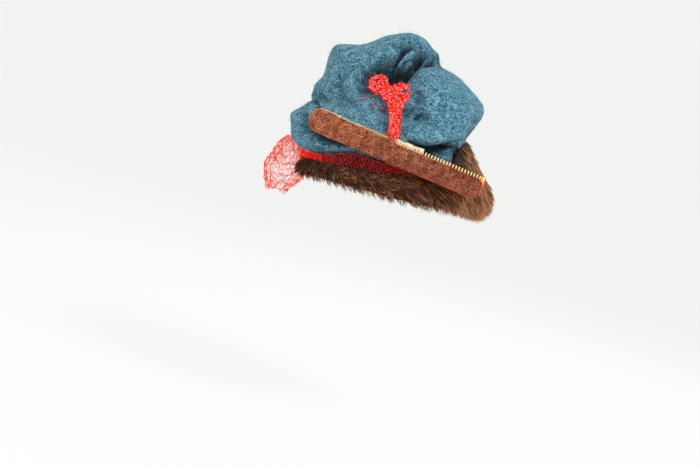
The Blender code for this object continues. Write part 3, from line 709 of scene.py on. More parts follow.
# %% Small folds at the back and sides
SMALL_FOLDS = [
    Fold("roll_sag", -172, 110, -104, 117, 0.11, 0.045, 2.0),
    Fold("roll_ripple", -150, 104, -138, 112, 0.04, -0.03, 1.6),
    Fold("cheek_ripple", -55, 70, -50, 88, 0.07, -0.03, 2.0),
    Fold("back_pinch", 95, 60, 70, 84, 0.05, -0.05, 1.3),
    Fold("back_ripple", 175, 60, 160, 90, 0.06, -0.04, 1.5),
    Fold("nape_ripple", 100, 100, 60, 104, 0.05, -0.05, 1.3),
    Fold("top_ripple", 40, 20, 120, 28, 0.07, -0.04, 1.5),
]


def folded(directions):
    points = meet_lobes(directions)
    lift = sum(fold_lift(points, fold) for fold in FOLDS + SMALL_FOLDS)
    points = points + directions * lift[:, None]
    lift = sum(push_lift(points, directions, push) for push in PUSHES)
    lift += sum(crease_lift(points, crease) for crease in CREASES)
    return points + directions * lift[:, None]


# %% [markdown]
# ## Felt
#
# Wool felt is not woven: scaly fibres of mixed blues, black and grey are matted by rubbing. What the eye
# sees is a heather of short dark and light flecks, a matt surface with no gloss at all, and a soft halo
# of loose ends at the edge. Flecks here are two warped noises of about 1 and 6 mm, the halo is a layer
# of real fibres and a little sheen. One fibre is 0.03 mm thick and wouldn't show, so the flecks stand for
# bundles of them.

# %% Matted wool felt
FLECK_MM = 1.05
MOTTLE_MM = 6.0


def felt_material(name, stops, shade_colour, sheen_colour):
    """Matted wool in the colours of its fibres, darkened as its crease_shade attribute says: painted shade
    where it is shut in.
    """
    material = new_material(name)
    place = node(material, "TexCoord").outputs["Object"]
    warp = node(material, "TexNoise", Vector=place, Scale=1 / (3 * MM), Detail=2.0)
    pushed = node(material, "VectorMath", {"operation": "MULTIPLY_ADD"}, _0=warp.outputs["Color"],
                  _1=(4 * MM, 4 * MM, 4 * MM), _2=place)
    flecks = node(material, "TexNoise", Vector=pushed.outputs[0], Scale=1 / (FLECK_MM * MM), Detail=3.0,
                  Roughness=0.8, Distortion=1.2)
    mottle = node(material, "TexNoise", Vector=place, Scale=1 / (MOTTLE_MM * MM), Detail=2.0)
    both = node(material, "Math", {"operation": "MULTIPLY_ADD"}, _0=mottle.outputs["Fac"], _1=0.18,
                _2=flecks.outputs["Fac"])
    level = node(material, "MapRange", Value=both.outputs[0], _1=0.465, _2=0.71)
    fibres = node(material, "ValToRGB", stops=stops, Fac=level.outputs[0])
    shade = node(material, "Attribute", {"attribute_name": "crease_shade"})
    colour = node(material, "Mix", {"data_type": "RGBA"}, _0=shade.outputs["Fac"],
                  _6=fibres.outputs["Color"], _7=linear(shade_colour))
    bump = node(material, "Bump", Height=both.outputs[0], Strength=0.7, Distance=0.5 * MM)
    set_shader(material, Base_Color=colour.outputs[2], Normal=bump.outputs["Normal"], Roughness=0.95,
               Specular_IOR_Level=0.1, Sheen_Weight=0.2, Sheen_Roughness=0.5,
               Sheen_Tint=linear(sheen_colour))
    return material


blue_felt = felt_material(
    "heathered_blue_wool_felt",
    stops=[(0.07, "#0f161a"), (0.38, "#294a58"), (0.62, "#427f9a"), (0.95, "#a0d3e4")],
    shade_colour="#10171c",
    sheen_colour="#a8cad6",
)

# %% [markdown]
# ## The crown
#
# A sphere with its lower half deleted is a cup whose rows become rows of rays: the top stays the top, and
# the last row becomes the edge of the neck. A Displace modifier adds lumps too small to list, and Solidify
# gives the felt its wall, so the crown stays open and hollow.

# %% Crown
CROWN_COLUMNS = 300
CROWN_ROWS = 160
LUMP_MM = 1.2
FRONT_TURN = math.radians(-95)
FRONT_CROWDING = 0.45

deselect()
bpy.ops.mesh.primitive_uv_sphere_add(segments=CROWN_COLUMNS, ring_count=2 * CROWN_ROWS, radius=1)
crown = added("crown")
with edit_mode(crown):
    bpy.ops.mesh.bisect(plane_co=(0, 0, -0.0001), plane_no=(0, 0, 1), clear_inner=True)
put_in_order(crown)
cup = points_of(crown)
turns = np.arctan2(cup[:, 1], cup[:, 0])
turns -= FRONT_CROWDING * np.sin(turns - FRONT_TURN)
shares = np.arccos(np.clip(cup[:, 2], -1, 1)) / (math.pi / 2)
edge_share = math.sqrt(1 - (NECK_EDGE / NECK_SIZES[2]) ** 2)
edge = np.stack(
    [
        NECK_SIZES[0] * edge_share * np.cos(turns),
        NECK_SIZES[1] * edge_share * np.sin(turns),
        np.full(len(turns), NECK_EDGE),
    ],
    -1,
)
away = edge - RAY_START
last_polar = np.degrees(np.arctan2(np.linalg.norm(away[:, :2], axis=1), away[:, 2]))
azimuths = np.degrees(np.arctan2(away[:, 1], away[:, 0]))
move_points(crown, folded(aim(azimuths, np.clip(shares, 0, 1) * last_polar)))

lumps = bpy.data.textures.new("felt_lumps", "CLOUDS")
lumps.noise_scale = 0.014
lumps.noise_depth = 2
modify(crown, "DISPLACE", texture=lumps, texture_coords="LOCAL", strength=LUMP_MM * MM, mid_level=0.5)
crown_tree = BVHTree.FromObject(crown, bpy.context.evaluated_depsgraph_get())

# %% [markdown]
# Felt deep in a crease gets little light, so it is darker there: that is painted shade. Painting it by
# hand would do, but looking out from each point in many directions finds the same places, and a point that
# sees mostly felt or fur gets a high value. The neck under the roll is painted in full shade.

# %% Painted shade of the creases
# Height of the fur's top edge in shares of the head's rise, at azimuths from the left round to the front
FUR_TOPS = [(-196, 0.17), (-180, 0.15), (-135, 0.17), (-95, 0.22), (-65, 0.32), (-42, 0.46)]
NET_FROM = FUR_TOPS[0][0]
NET_TO = FUR_TOPS[-1][0]
ROLL_TOUCH = 31 * MM
LOOK_REACH = 36 * MM
LOOKS = 22
SHADE_GAIN = 1.8
DARKEST = 0.97


def reach_of(tree, azimuth, up):
    """How far from the axis a piece reaches at a height, looking from outside."""
    out = Vector((math.cos(azimuth), math.sin(azimuth), 0))
    far = 2 * CROWN_WIDTH
    hit = tree.ray_cast(out * far + Vector((0, 0, up)), -out, 2 * far)[3]
    return far - hit if hit is not None else 0.0


def roll_underside(tree, azimuth, up):
    """Height at which the roll starts to lean out over the neck."""
    step = 0.8 * MM
    while up < ROLL_TOUCH and reach_of(tree, azimuth, up + step) - reach_of(tree, azimuth, up) < step:
        up += step
    return up


def crease_shade(obj, tree):
    """How shut in each point is, from 0 in the open to 1, by looking out in many directions."""
    looks = unit(np.random.default_rng(5).normal(0, 1, (LOOKS, 3)))
    shut = np.zeros(len(obj.data.vertices))
    for i, vertex in enumerate(obj.data.vertices):
        normal = np.array(vertex.normal)
        start = vertex.co + vertex.normal * 0.6 * MM
        ways = looks * np.sign(looks @ normal)[:, None]
        hits = 0.0
        total = 0.0
        for way, weight in zip(ways, ways @ normal):
            total += weight
            found = tree.ray_cast(start, Vector(way), LOOK_REACH)[3]
            if found is not None:
                hits += weight * (1 - 0.5 * found / LOOK_REACH)
        shut[i] = hits / total
    return shut


fur_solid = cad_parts["fur_band"].data
first = len(crown.data.vertices)
both_points = [v.co for v in crown.data.vertices] + [v.co for v in fur_solid.vertices]
both_faces = [tuple(face.vertices) for face in crown.data.polygons]
both_faces += [tuple(i + first for i in face.vertices) for face in fur_solid.polygons]
shut = crease_shade(crown, BVHTree.FromPolygons(both_points, both_faces))
sides = np.linspace(NET_FROM, NET_TO, 40)
fur_tops = np.interp(sides, *zip(*FUR_TOPS)) * HEAD_RISE
unders = [roll_underside(crown_tree, a, top) for a, top in zip(np.radians(sides), fur_tops)]
places = points_of(crown)
around = (np.degrees(np.arctan2(places[:, 1], places[:, 0])) - NET_FROM) % 360 + NET_FROM
under = np.interp(around, sides, unders) + 2.5 * MM
# Painted shade: full shade on the neck just under the roll, and dark felt under the top ridge
below = np.clip((under - places[:, 2]) / (3 * MM), 0, 1) * (around < NET_TO)
mouth = -crease_lift(places, MOUTH_DARK) / MM
give_values(crown, "crease_shade", np.clip(SHADE_GAIN * shut - 0.08 + below + mouth, 0, DARKEST))
modify(crown, "SOLIDIFY", thickness=FELT_WALL, offset=-1.0)
smooth(crown, 70)
hand_over(crown, blue_felt, "wool_felt", "felt_crown")
crown_tree = BVHTree.FromObject(crown, bpy.context.evaluated_depsgraph_get())

# %% [markdown]
# Loose wool fibres stand off the surface everywhere and blur the outline. A few thousand curled hairs,
# most of them lying almost flat, do this without changing the size of the hat. They are drawn 0.14 mm
# thick, four times the real ones, because thinner ones vanish in the picture.

# %% Loose fibres on the crown
FUZZ_COUNT = 8800
FUZZ_MM = 3.2
STRAY_COUNT = 1400
STRAY_MM = 6.5


def outer_felt(centres, normals):
    """Faces of the outer wall: no felt lies just outside them."""
    clear = []
    for centre, normal in zip(centres, normals):
        start = Vector(centre + normal * 0.3 * MM)
        clear.append(crown_tree.ray_cast(start, Vector(normal), 4 * MM)[0] is None)
    return np.array(clear, float)


def fuzz(name, obj, count, length_mm, width_mm, seed, keep=None, rows=4):
    """Curled loose fibres scattered on a felt piece."""
    roots, normals = scatter(obj, count, seed, keep)
    chance = np.random.default_rng(seed + 1)
    sideways = chance.normal(0, 1, (count, 3))
    sideways = unit(sideways - normals * (sideways * normals).sum(1)[:, None])
    lift = chance.uniform(0.15, 0.8, count)[:, None]
    ways = unit(sideways * (1 - lift) + normals * lift)
    bends = chance.normal(0, 0.35, (count, 3)) - normals * 0.25 * lift
    lengths = length_mm * MM * chance.uniform(0.4, 1.2, count)
    width = width_mm * MM * chance.uniform(0.7, 1.3, count)
    return hairs(name, roots, ways, bends, lengths, width, rows, seed + 2)


blues = [(0.0, "#20323d"), (0.45, "#3c6a80"), (0.8, "#6aa6bf"), (1.0, "#9ccadb")]
blue_fibre = fibre_material("loose_blue_wool_fibre", blues, 0.2)
crown_fuzz = fuzz("crown_fuzz", crown, FUZZ_COUNT, FUZZ_MM, 0.14, 11, outer_felt)
hand_over(crown_fuzz, blue_fibre, "wool_felt")
stray_fibres = fuzz("stray_fibres", crown, STRAY_COUNT, STRAY_MM, 0.13, 15, outer_felt)
hand_over(stray_fibres, blue_fibre, "wool_felt")

# %% [markdown]
# ## Fur
#
# The band is a strip of real fur on its skin: dense brown underfur in pointed locks, with longer and
# greyer guard hairs over it. It is the softest thing here, so no surface alone looks like it. The solid's
# shape is kept as the skin, and hairs are rooted all over its outer side in two layers. Hairs lean
# together towards the tips of fifteen hundred locks, which is what parts fur into tufts. Each hair drawn
# stands for a wisp of real ones, so it is 0.3 to 0.6 mm thick.

# %% Skin under the fur
dark_browns = [(0.35, "#120a05"), (0.7, "#3a2010")]
skin_brown, _ = speckled_material("brown_fur_skin", 6.0, 4.0, dark_browns, Roughness=0.9)

# The skin is drawn in where long hairs stand off it most, at the flap's upper corner, and leans on the
# crown at the flap's top, all in millimetres across and up
Nudge = namedtuple("Nudge", "across up radius move_across move_up")
FLAP_NUDGES = [Nudge(106, 58, 28, -8.5, -6.0), Nudge(82, 72, 16, -6.5, 2.5)]
fur_skin = copy_of("fur_band", "fur_skin")
modify(fur_skin, "SUBSURF", levels=1, render_levels=1)
modify(fur_skin, "SMOOTH", factor=0.5, iterations=3)
places = points_of(fur_skin)
for nudge in FLAP_NUDGES:
    off = np.hypot(places[:, 0] / MM - nudge.across, places[:, 2] / MM - nudge.up)
    share = np.exp(-((off / nudge.radius) ** 2))[:, None]
    places += share * np.array([nudge.move_across, 0, nudge.move_up]) * MM
move_points(fur_skin, places)
smooth(fur_skin, 80)
hand_over(fur_skin, skin_brown, "fur", "fur_band")

# %% Lie of the fur
# Hairs lie along the band and a little down, and on the flap at the right they sweep up and outwards
UNDER_COUNT = 13000
GUARD_COUNT = 8400
LOCK_COUNT = 1500
FLAP_FROM = 0.058
FLAP_TO = 0.092


def flap_share(places):
    return np.clip((places[:, 0] - FLAP_FROM) / (FLAP_TO - FLAP_FROM), 0, 1)


def furry_side(centres, normals):
    """Faces of the fur that look away from the head, and the upper inside of the flap."""
    outwards = (normals * unit(centres * (1, 1, 0))).sum(1) > -0.25
    inside_flap = (centres[:, 0] > 0.055) & (centres[:, 2] > 0.022)
    return (outwards | inside_flap).astype(float)


def lie_of_fur(places, normals):
    """The way a hair lies at each place."""
    outwards = unit(places * (1, 1, 0))
    flap = flap_share(places)[:, None]
    around = np.stack([-outwards[:, 1], outwards[:, 0], 0 * outwards[:, 0]], 1)
    front = np.where(places[:, 1:2] < 0, 1.0, -1.0)
    band = np.array([0, 0, -0.30]) + normals * 0.42 + around * 0.55 * front
    high = np.clip(places[:, 2:] / 0.07, 0, 1)
    flare = outwards * 0.30 + normals * 0.30 + np.array([0, 0, -0.6])
    inner = ((normals * outwards).sum(1) < 0)[:, None]
    flare = np.where(inner, normals * 0.6 + np.array([0, 0, 0.35]) * high, flare)
    return unit(band * (1 - flap) + flare * flap)


def fur_hairs(name, count, length_mm, width_mm, rows, seed, gather):
    """A layer of fur whose hairs gather towards the tips of locks."""
    roots, normals = scatter(fur_skin, count, seed, furry_side)
    chance = np.random.default_rng(seed + 1)
    ways = unit(lie_of_fur(roots, normals) + chance.normal(0, 0.17, (count, 3)))
    lengths = length_mm * MM * chance.uniform(0.6, 1.15, count)
    lock_roots, lock_normals = scatter(fur_skin, LOCK_COUNT, 77, furry_side)
    wander = np.random.default_rng(78).normal(0, 0.24, (LOCK_COUNT, 3))
    tips = lock_roots + unit(lie_of_fur(lock_roots, lock_normals) + wander) * length_mm * MM
    own = np.linalg.norm(roots[:, None] - lock_roots[None], axis=2).argmin(1)
    pull = (tips[own] - (roots + ways * lengths[:, None])) / lengths[:, None]
    bends = pull * gather + np.array([0, 0, -0.10]) + chance.normal(0, 0.06, (count, 3))
    width = width_mm * MM * chance.uniform(0.7, 1.2, count)
    lock_tone = np.random.default_rng(79).normal(0, 0.14, LOCK_COUNT)
    # The flap's hairs are painted lighter: partly painted light, as the flap faces the light from the
    # right, and partly the greyer guard-hair tips there
    lightness = 0.37 + lock_tone[own] + 0.68 * flap_share(roots)
    roots = roots - normals * 0.3 * MM
    return hairs(name, roots, ways, bends, lengths, width, rows, seed + 2, lightness)


def fur_material(name, root, middle, tip, roughness):
    """Hair that goes from root to tip in three browns, each hair a little different."""
    material = new_material(name)
    tone = node(material, "Attribute", {"attribute_name": "tone"}).outputs["Fac"]
    along = node(material, "Attribute", {"attribute_name": "along"}).outputs["Fac"]
    place = node(material, "TexCoord").outputs["Object"]
    patches = node(material, "TexNoise", Vector=place, Scale=1 / (16 * MM), Detail=2.0)
    tone = node(material, "Math", {"operation": "MULTIPLY_ADD"},
                _0=patches.outputs["Fac"], _1=0.8, _2=tone)
    level = node(material, "Math", {"operation": "MULTIPLY_ADD"}, _0=along, _1=0.45, _2=tone.outputs[0])
    level = node(material, "MapRange", Value=level.outputs[0], _1=0.35, _2=1.75)
    browns = [(0.0, root), (0.5, middle), (1.0, tip)]
    colour = node(material, "ValToRGB", stops=browns, Fac=level.outputs[0])
    set_shader(material, Base_Color=colour.outputs["Color"], Roughness=roughness, Specular_IOR_Level=0.06)
    return material


under_fur = fur_hairs("under_fur", UNDER_COUNT, 6.2, 0.56, 3, 21, 0.8)
hand_over(under_fur, fur_material("soft_brown_underfur", "#140600", "#5e2100", "#b87e50", 0.7), "fur")
guard_hair = fur_hairs("guard_hair", GUARD_COUNT, 8.4, 0.32, 4, 31, 0.45)
hand_over(guard_hair, fur_material("grey_brown_guard_hair", "#180902", "#773c0e", "#d8aa80", 0.5), "fur")

# %% [markdown]
# ## Netting
#
# Millinery netting is knotted in diamonds of 4 to 5 mm. It is a sheet with holes, so it could be a
# transparent image, but then it would have no thickness and could not be exported. Here a grid is turned
# into diamonds, by poking every face and dissolving the old edges, laid along a shape, and the Wireframe
# modifier turns what is left into threads. They are drawn about 0.5 mm thick, twice the real thread,
# which would be half a pixel wide.

# %% Diamond netting
def diamond_sheet(name, across, up):
    """A flat sheet of diamonds with corners from 0 to 1, as many cells as asked."""
    deselect()
    bpy.ops.mesh.primitive_grid_add(x_subdivisions=across, y_subdivisions=up, size=2)
    obj = added(name)
    corners = len(obj.data.vertices)
    with edit_mode(obj):
        bpy.ops.mesh.poke()
        bpy.ops.mesh.select_all(action="DESELECT")
        shell = bmesh.from_edit_mesh(obj.data)
        for edge in shell.edges:
            if all(v.index < corners for v in edge.verts) and not edge.is_boundary:
                edge.select_set(True)
        bmesh.update_edit_mesh(obj.data)
        bpy.ops.mesh.dissolve_edges(use_verts=False)
    return obj, (points_of(obj)[:, :2] + 1) / 2


def ripple(points, size_mm, seed):
    """Smooth random pushes with a given size of ripple, one for each point."""
    chance = np.random.default_rng(seed)
    total = np.zeros_like(points)
    for _ in range(9):
        wave = chance.normal(0, 1, 3) * 2 * math.pi / (size_mm * MM) / 1.7
        total += np.sin(points @ wave + chance.uniform(0, 6.3))[:, None] * chance.normal(0, 1, 3) / 3
    return total


def thread(obj, thickness_mm):
    modify(obj, "WIREFRAME", thickness=thickness_mm * MM, use_replace=True, use_even_offset=False,
           use_boundary=True)
    smooth(obj, 60)


def nylon_material(name, fleck_mm, stops, glow):
    """Shiny dyed thread with painted glints that come and go. The glow is painted light for the light that
    thin nylon passes on.
    """
    painted_glow = {"Emission_Color": linear("#ff2208"), "Emission_Strength": glow}
    material, _ = speckled_material(
        name, fleck_mm, 1.0, stops, Roughness=0.38, Specular_IOR_Level=0.1, **painted_glow
    )
    return material


# Seen against the white paper, single threads are painted from dark red to nearly white: the near-white
# flecks are painted glints
flickering_reds_with_painted_glints = [(0.36, "#b01806"), (0.47, "#f03a18"), (0.58, "#ff6a42"), (0.68, "#ffd4c4")]
airy_netting = nylon_material("red_nylon_netting", 3.0, flickering_reds_with_painted_glints, 0.22)

# %% [markdown]
# The strip of netting lies between roll and fur, from the left side round to the front. Its net is laid
# on the crown by looking inwards from outside at every corner, with two layers whose cells don't line up.

# %% Netting under the roll
TUCK = 2 * MM
EDGE_WAVE = 0.8 * MM
STRIP_CRUMPLE = 0.6 * MM
BULGE_AT = -188
BULGE_SPREAD = 14


def strip_of_net(name, start, end, across, up_cells, off_mm, wave, thick_mm, bulge_mm=0.0):
    """One layer of net on the crown, between two azimuths, its lower edge behind the fur."""
    strip, uv = diamond_sheet(name, across, up_cells)
    azimuths = start + (end - start) * uv[:, 0]
    low = np.interp(azimuths, *zip(*FUR_TOPS)) * HEAD_RISE - TUCK
    high = [roll_underside(crown_tree, a, z + 6 * MM) for a, z in zip(np.radians(azimuths), low)]
    high = np.array(high) + EDGE_WAVE * np.sin(np.radians(azimuths * 5 + wave))
    up = low + (high - low) * uv[:, 1]
    places = []
    for azimuth, z in zip(np.radians(azimuths), up):
        bulge = bulge_mm * math.exp(-(((math.degrees(azimuth) - BULGE_AT) / BULGE_SPREAD) ** 2))
        reach = reach_of(crown_tree, azimuth, z) + (off_mm + bulge) * MM
        places.append((reach * math.cos(azimuth), reach * math.sin(azimuth), z))
    places = np.array(places)
    places += ripple(places, 9, 40 + wave) * STRIP_CRUMPLE
    move_points(strip, places)
    thread(strip, thick_mm)
    return strip


strip_layers = [
    strip_of_net("strip_front", -186, NET_TO, 58, 3, 1.0, 0, 0.52),
    strip_of_net("strip_side", -190, -135, 20, 3, 2.4, 70, 0.48),
    strip_of_net("strip_gather", -200, -160, 30, 6, 3.0, 30, 0.46, bulge_mm=8.0),
]
net_strip = join("net_strip", strip_layers)
# Between roll and fur the same thread is in shade, deep red with few glints
shaded_reds = [(0.34, "#9c0606"), (0.46, "#f01c1c"), (0.58, "#ff3a30"), (0.68, "#ff8c80")]
shaded_netting = nylon_material("red_nylon_netting_in_shade", 2.5, shaded_reds, 0.22)
hand_over(net_strip, shaded_netting, "red_netting", "net_band")

# %% [markdown]
# ## The puff
#
# At the left the netting is pulled out into a bag that puffs beside the fur. It is a loose tube of net,
# gathered under the roll and at its foot. Two layers are wrapped round the same rings as the solid's, and
# random ripples crumple them.

# %% Puff of netting
PUFF_HEIGHT = 0.058
PUFF_AZIMUTH = 152
PUFF_TOP = 0.0295
PUFF_FOLDS = 2.2 * MM
PUFF_CRUMPLE = 1.6 * MM
PuffRing = namedtuple("PuffRing", "drop half_out half_along along")
PUFF_RINGS = [
    PuffRing(0.00, 0.08, 0.26, 0.00),
    PuffRing(0.18, 0.22, 0.36, 0.02),
    PuffRing(0.40, 0.32, 0.42, 0.04),
    PuffRing(0.62, 0.36, 0.42, 0.08),
    PuffRing(0.82, 0.30, 0.34, 0.12),
    PuffRing(1.00, 0.17, 0.20, 0.14),
]
puff_out = np.array([math.cos(math.radians(PUFF_AZIMUTH)), math.sin(math.radians(PUFF_AZIMUTH)), 0])
puff_along = np.array([-puff_out[1], puff_out[0], 0])
puff_corners = np.array([v.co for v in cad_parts["net_puff"].data.vertices])
puff_inner_reach = float((puff_corners @ puff_out).min())


def puff_places(uv, shrink):
    """Places on the bag for corners of a flat net, u round it and v down it."""
    table = np.array(PUFF_RINGS)
    drop = uv[:, 1]
    half_out, half_along, along = (np.interp(drop, table[:, 0], table[:, k]) for k in (1, 2, 3))
    turn = 2 * math.pi * uv[:, 0]
    deepest = table[:, 1].max()
    out = puff_inner_reach / PUFF_HEIGHT + deepest + half_out * shrink * np.cos(turn)
    sideways = along + half_along * shrink * np.sin(turn)
    places = puff_out * (out * PUFF_HEIGHT)[:, None] + puff_along * (sideways * PUFF_HEIGHT)[:, None]
    places[:, 2] = PUFF_TOP - drop * PUFF_HEIGHT
    return places


def puff_layer(name, across, down, shrink, seed, thick_mm, foot=1.0):
    """One crumpled layer of the bag, from its top down to a share of its height."""
    bag, uv = diamond_sheet(name, across, down)
    uv[:, 1] *= foot
    places = puff_places(uv, shrink)
    calm = np.minimum(1, 4 * np.minimum(uv[:, 1] + 0.1, 1.1 - uv[:, 1]))[:, None]
    places += ripple(places, 16, 50 + seed) * PUFF_FOLDS * calm
    places += ripple(places, 5, 60 + seed) * PUFF_CRUMPLE
    move_points(bag, places)
    with edit_mode(bag):
        bpy.ops.mesh.remove_doubles(threshold=0.5 * MM)
    thread(bag, thick_mm)
    return bag


puff_layers = [
    puff_layer("puff_outer", 30, 15, 1.0, 0, 0.60),
    puff_layer("puff_inner", 12, 5, 0.7, 1, 0.55, foot=0.5),
]
net_bag = join("net_bag", puff_layers)
hand_over(net_bag, airy_netting, "red_netting", "net_puff")

# %% [markdown]
# ## The comb
#
# The comb is moulded plastic: one flat bar with fine teeth at the left and coarse teeth at the right. The
# solid has all its teeth, so a copy of it only needs the small round edges that moulding leaves. The
# plastic is smooth and glossy and light sinks a little way into it. Its thin tips are painted yellow:
# painted light for the light that thin plastic lets through.

# %% Moulded orange plastic
COMB_LENGTH = 0.184
COMB_HEIGHT = 0.024
COMB_YAW = math.radians(5.0)
COMB_LEAN = math.radians(8.1)
comb_turn = (Matrix.Rotation(COMB_YAW, 4, "Z") @ Matrix.Rotation(COMB_LEAN, 4, "Y")).to_3x3()
comb_axes = [np.array(comb_turn @ Vector(axis)) for axis in ((1, 0, 0), (0, 1, 0), (0, 0, 1))]
along_comb, back_of_comb, up_comb = comb_axes
comb_points = np.array([v.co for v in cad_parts["comb"].data.vertices])
comb_low = [float((comb_points @ axis).min()) for axis in comb_axes]
comb_high = [float((comb_points @ axis).max()) for axis in comb_axes]
comb_middle = [(low + high) / 2 for low, high in zip(comb_low, comb_high)]
print("comb:", [round((high - low) / MM, 1) for low, high in zip(comb_low, comb_high)], "mm")

plastic = new_material("moulded_orange_plastic")
tip = node(plastic, "Attribute", {"attribute_name": "to_tip"})
# Painted light: orange at the bar to yellow at the thin tips of the teeth, for light passing through them
oranges = [(0.0, "#f04e1c"), (0.45, "#ff7432"), (0.72, "#ffae54"), (1.0, "#ffe396")]
painted_tip_light = node(plastic, "ValToRGB", stops=oranges, Fac=tip.outputs["Fac"])
sinks_in = {"Subsurface_Weight": 0.15, "Subsurface_Radius": (2 * MM, 1 * MM, 0.5 * MM)}
set_shader(plastic, Base_Color=painted_tip_light.outputs["Color"], Roughness=0.28, IOR=1.5, **sinks_in)

comb = copy_of("comb", "orange_comb")
with edit_mode(comb):
    bpy.ops.mesh.dissolve_limited(angle_limit=math.radians(1))
modify(comb, "BEVEL", width=0.28 * MM, segments=2, limit_method="ANGLE", angle_limit=math.radians(25))
smooth(comb, 30)
heights = points_of(comb) @ up_comb
# Painted light: how near each point is to the tips of the teeth, for their yellow
give_values(comb, "to_tip", np.clip((heights - comb_high[2] + 5.5 * MM) / (5 * MM), 0, 1))
hand_over(comb, plastic, "orange_plastic", "comb")

# %% [markdown]
# Its front is covered by a strip of reddish brown felt, cut by hand, so its edge wanders and sheds tufts.
# Remeshing the plain strip gives it enough points to be lumpy all over.

# %% Felt on the comb
brown_felt = felt_material(
    "hand_cut_brown_wool_felt",
    stops=[(0.08, "#260f0a"), (0.36, "#6c2c1c"), (0.60, "#a04c30"), (0.95, "#e09a70")],
    shade_colour="#421c20",
    sheen_colour="#e0a080",
)
FELT_THICK = 0.0018
FELT_VOXEL = 0.62 * MM
FELT_TOP = 0.5 * MM
TEETH_SHOW = 3.4 * MM
TEETH_FROM = 0.028

half_long, half_high = COMB_LENGTH / 2, COMB_HEIGHT / 2


def quarter(centre, radius, from_degrees, steps=6):
    turns = np.radians(np.linspace(from_degrees, from_degrees - 90, steps))
    return [(centre[0] + radius * math.cos(t), centre[1] + radius * math.sin(t)) for t in turns]


high_left, high_right = half_high - FELT_TOP, half_high - TEETH_SHOW
outline = quarter((-half_long + 10.0 * MM, high_left - 9 * MM), 9 * MM, 180)
first_tooth = -half_long + TEETH_FROM
outline += [(first_tooth - 6 * MM, high_left), (first_tooth + 5 * MM, high_left - 1.8 * MM)]
outline += [(first_tooth + 26 * MM, high_left - 1.7 * MM), (0, high_right)]
outline += quarter((half_long - 8.4 * MM, high_right - 7 * MM), 7 * MM, 90)
outline += quarter((half_long - 10.2 * MM, -half_high + 9.6 * MM), 9 * MM, 0)
outline += quarter((-half_long + 9.4 * MM, -half_high + 9 * MM), 9 * MM, -90)
comb_felt = cut_from_grid("comb_felt_strip", outline, 0.8 * MM)
modify(comb_felt, "SOLIDIFY", thickness=FELT_THICK, offset=0.0)
modify(comb_felt, "REMESH", mode="VOXEL", voxel_size=FELT_VOXEL)
flat = points_of(comb_felt)
near = comb_low[1] - 0.3 * MM - FELT_THICK / 2
places = (
    (comb_middle[0] + flat[:, 0:1]) * along_comb
    + (comb_middle[2] + flat[:, 1:2]) * up_comb
    + (near + flat[:, 2:3]) * back_of_comb
)
edge_share = np.clip((np.abs(flat[:, 1]) - 7 * MM) / (3 * MM), 0, 1)[:, None]
places -= back_of_comb * np.abs(ripple(places, 14, 72)[:, :1]) * 0.35 * MM
places -= back_of_comb * (flat[:, 2:3] < 0) * ripple(places, 4.5, 71)[:, :1] * 0.30 * MM
places += up_comb * (ripple(places, 8, 73)[:, :1] * 0.45 * MM) * edge_share
move_points(comb_felt, places)
# The felt is lighter at the comb's left end and darker towards the fur at its right, with soft random
# patches
places = points_of(comb_felt)
darker = np.clip((places[:, 0] / MM + 95) / 150, 0, 1) ** 0.8
give_values(comb_felt, "crease_shade", 0.46 * darker + 0.10 * ripple(places, 18, 74)[:, 0])
modify(comb_felt, "SMOOTH", factor=0.5, iterations=2)
smooth(comb_felt, 80)
hand_over(comb_felt, brown_felt, "brown_felt", "comb_felt")

COMB_FUZZ_COUNT = 4600
COMB_FUZZ_MM = 2.3
browns = [(0.0, "#4c1e14"), (0.5, "#984a30"), (1.0, "#d98a60")]
brown_fibre = fibre_material("loose_brown_wool_fibre", browns, 0.5)


def front_of_strip(centres, normals):
    """Faces of the strip that look away from the comb."""
    return ((normals @ back_of_comb) < 0.3).astype(float)


comb_fuzz = fuzz(
    "comb_felt_fuzz", comb_felt, COMB_FUZZ_COUNT, COMB_FUZZ_MM, 0.16, 81, front_of_strip, rows=3
)
hand_over(comb_fuzz, brown_fibre, "brown_felt")

# %% [markdown]
# Behind the comb, a wad of white padding shows between the teeth where the comb was glued on. It is
# crumpled, and painted shade makes it a little grey and bluish in the hollows of its bumps.

# %% White padding
# Painted shade: the lower stop is the grey-blue of the bump's hollows
white_with_painted_shade = [(0.3, "#b9c3c6"), (0.6, "#f4f4ee")]
wadding, tufts = speckled_material("white_wadding", 1.5, 3.0, white_with_painted_shade, Roughness=0.8)
bump = node(wadding, "Bump", Height=tufts.outputs["Fac"], Strength=0.6, Distance=0.4 * MM)
set_shader(wadding, Normal=bump.outputs["Normal"])
pad = copy_of("glue_pad", "crumpled_pad")
modify(pad, "REMESH", mode="VOXEL", voxel_size=0.6 * MM)
places = points_of(pad)
places += ripple(places, 6, 91) * 0.5 * MM + ripple(places, 3, 92) * 0.2 * MM
move_points(pad, places)
smooth(pad, 60)
hand_over(pad, wadding, "white_padding", "glue_pad")

# %% [markdown]
# ## The bow
#
# The bow is a scrap of the same netting, folded on itself many times and stuck down by its foot, with two
# loops at its top like the lobes of a heart. So many layers read as a solid red knot with threads standing
# off it. Its outline is cut from a grid, thickened and remeshed, and bent back along the solid's own lean.
# A shell of threads and a fringe of stray ends go over it.

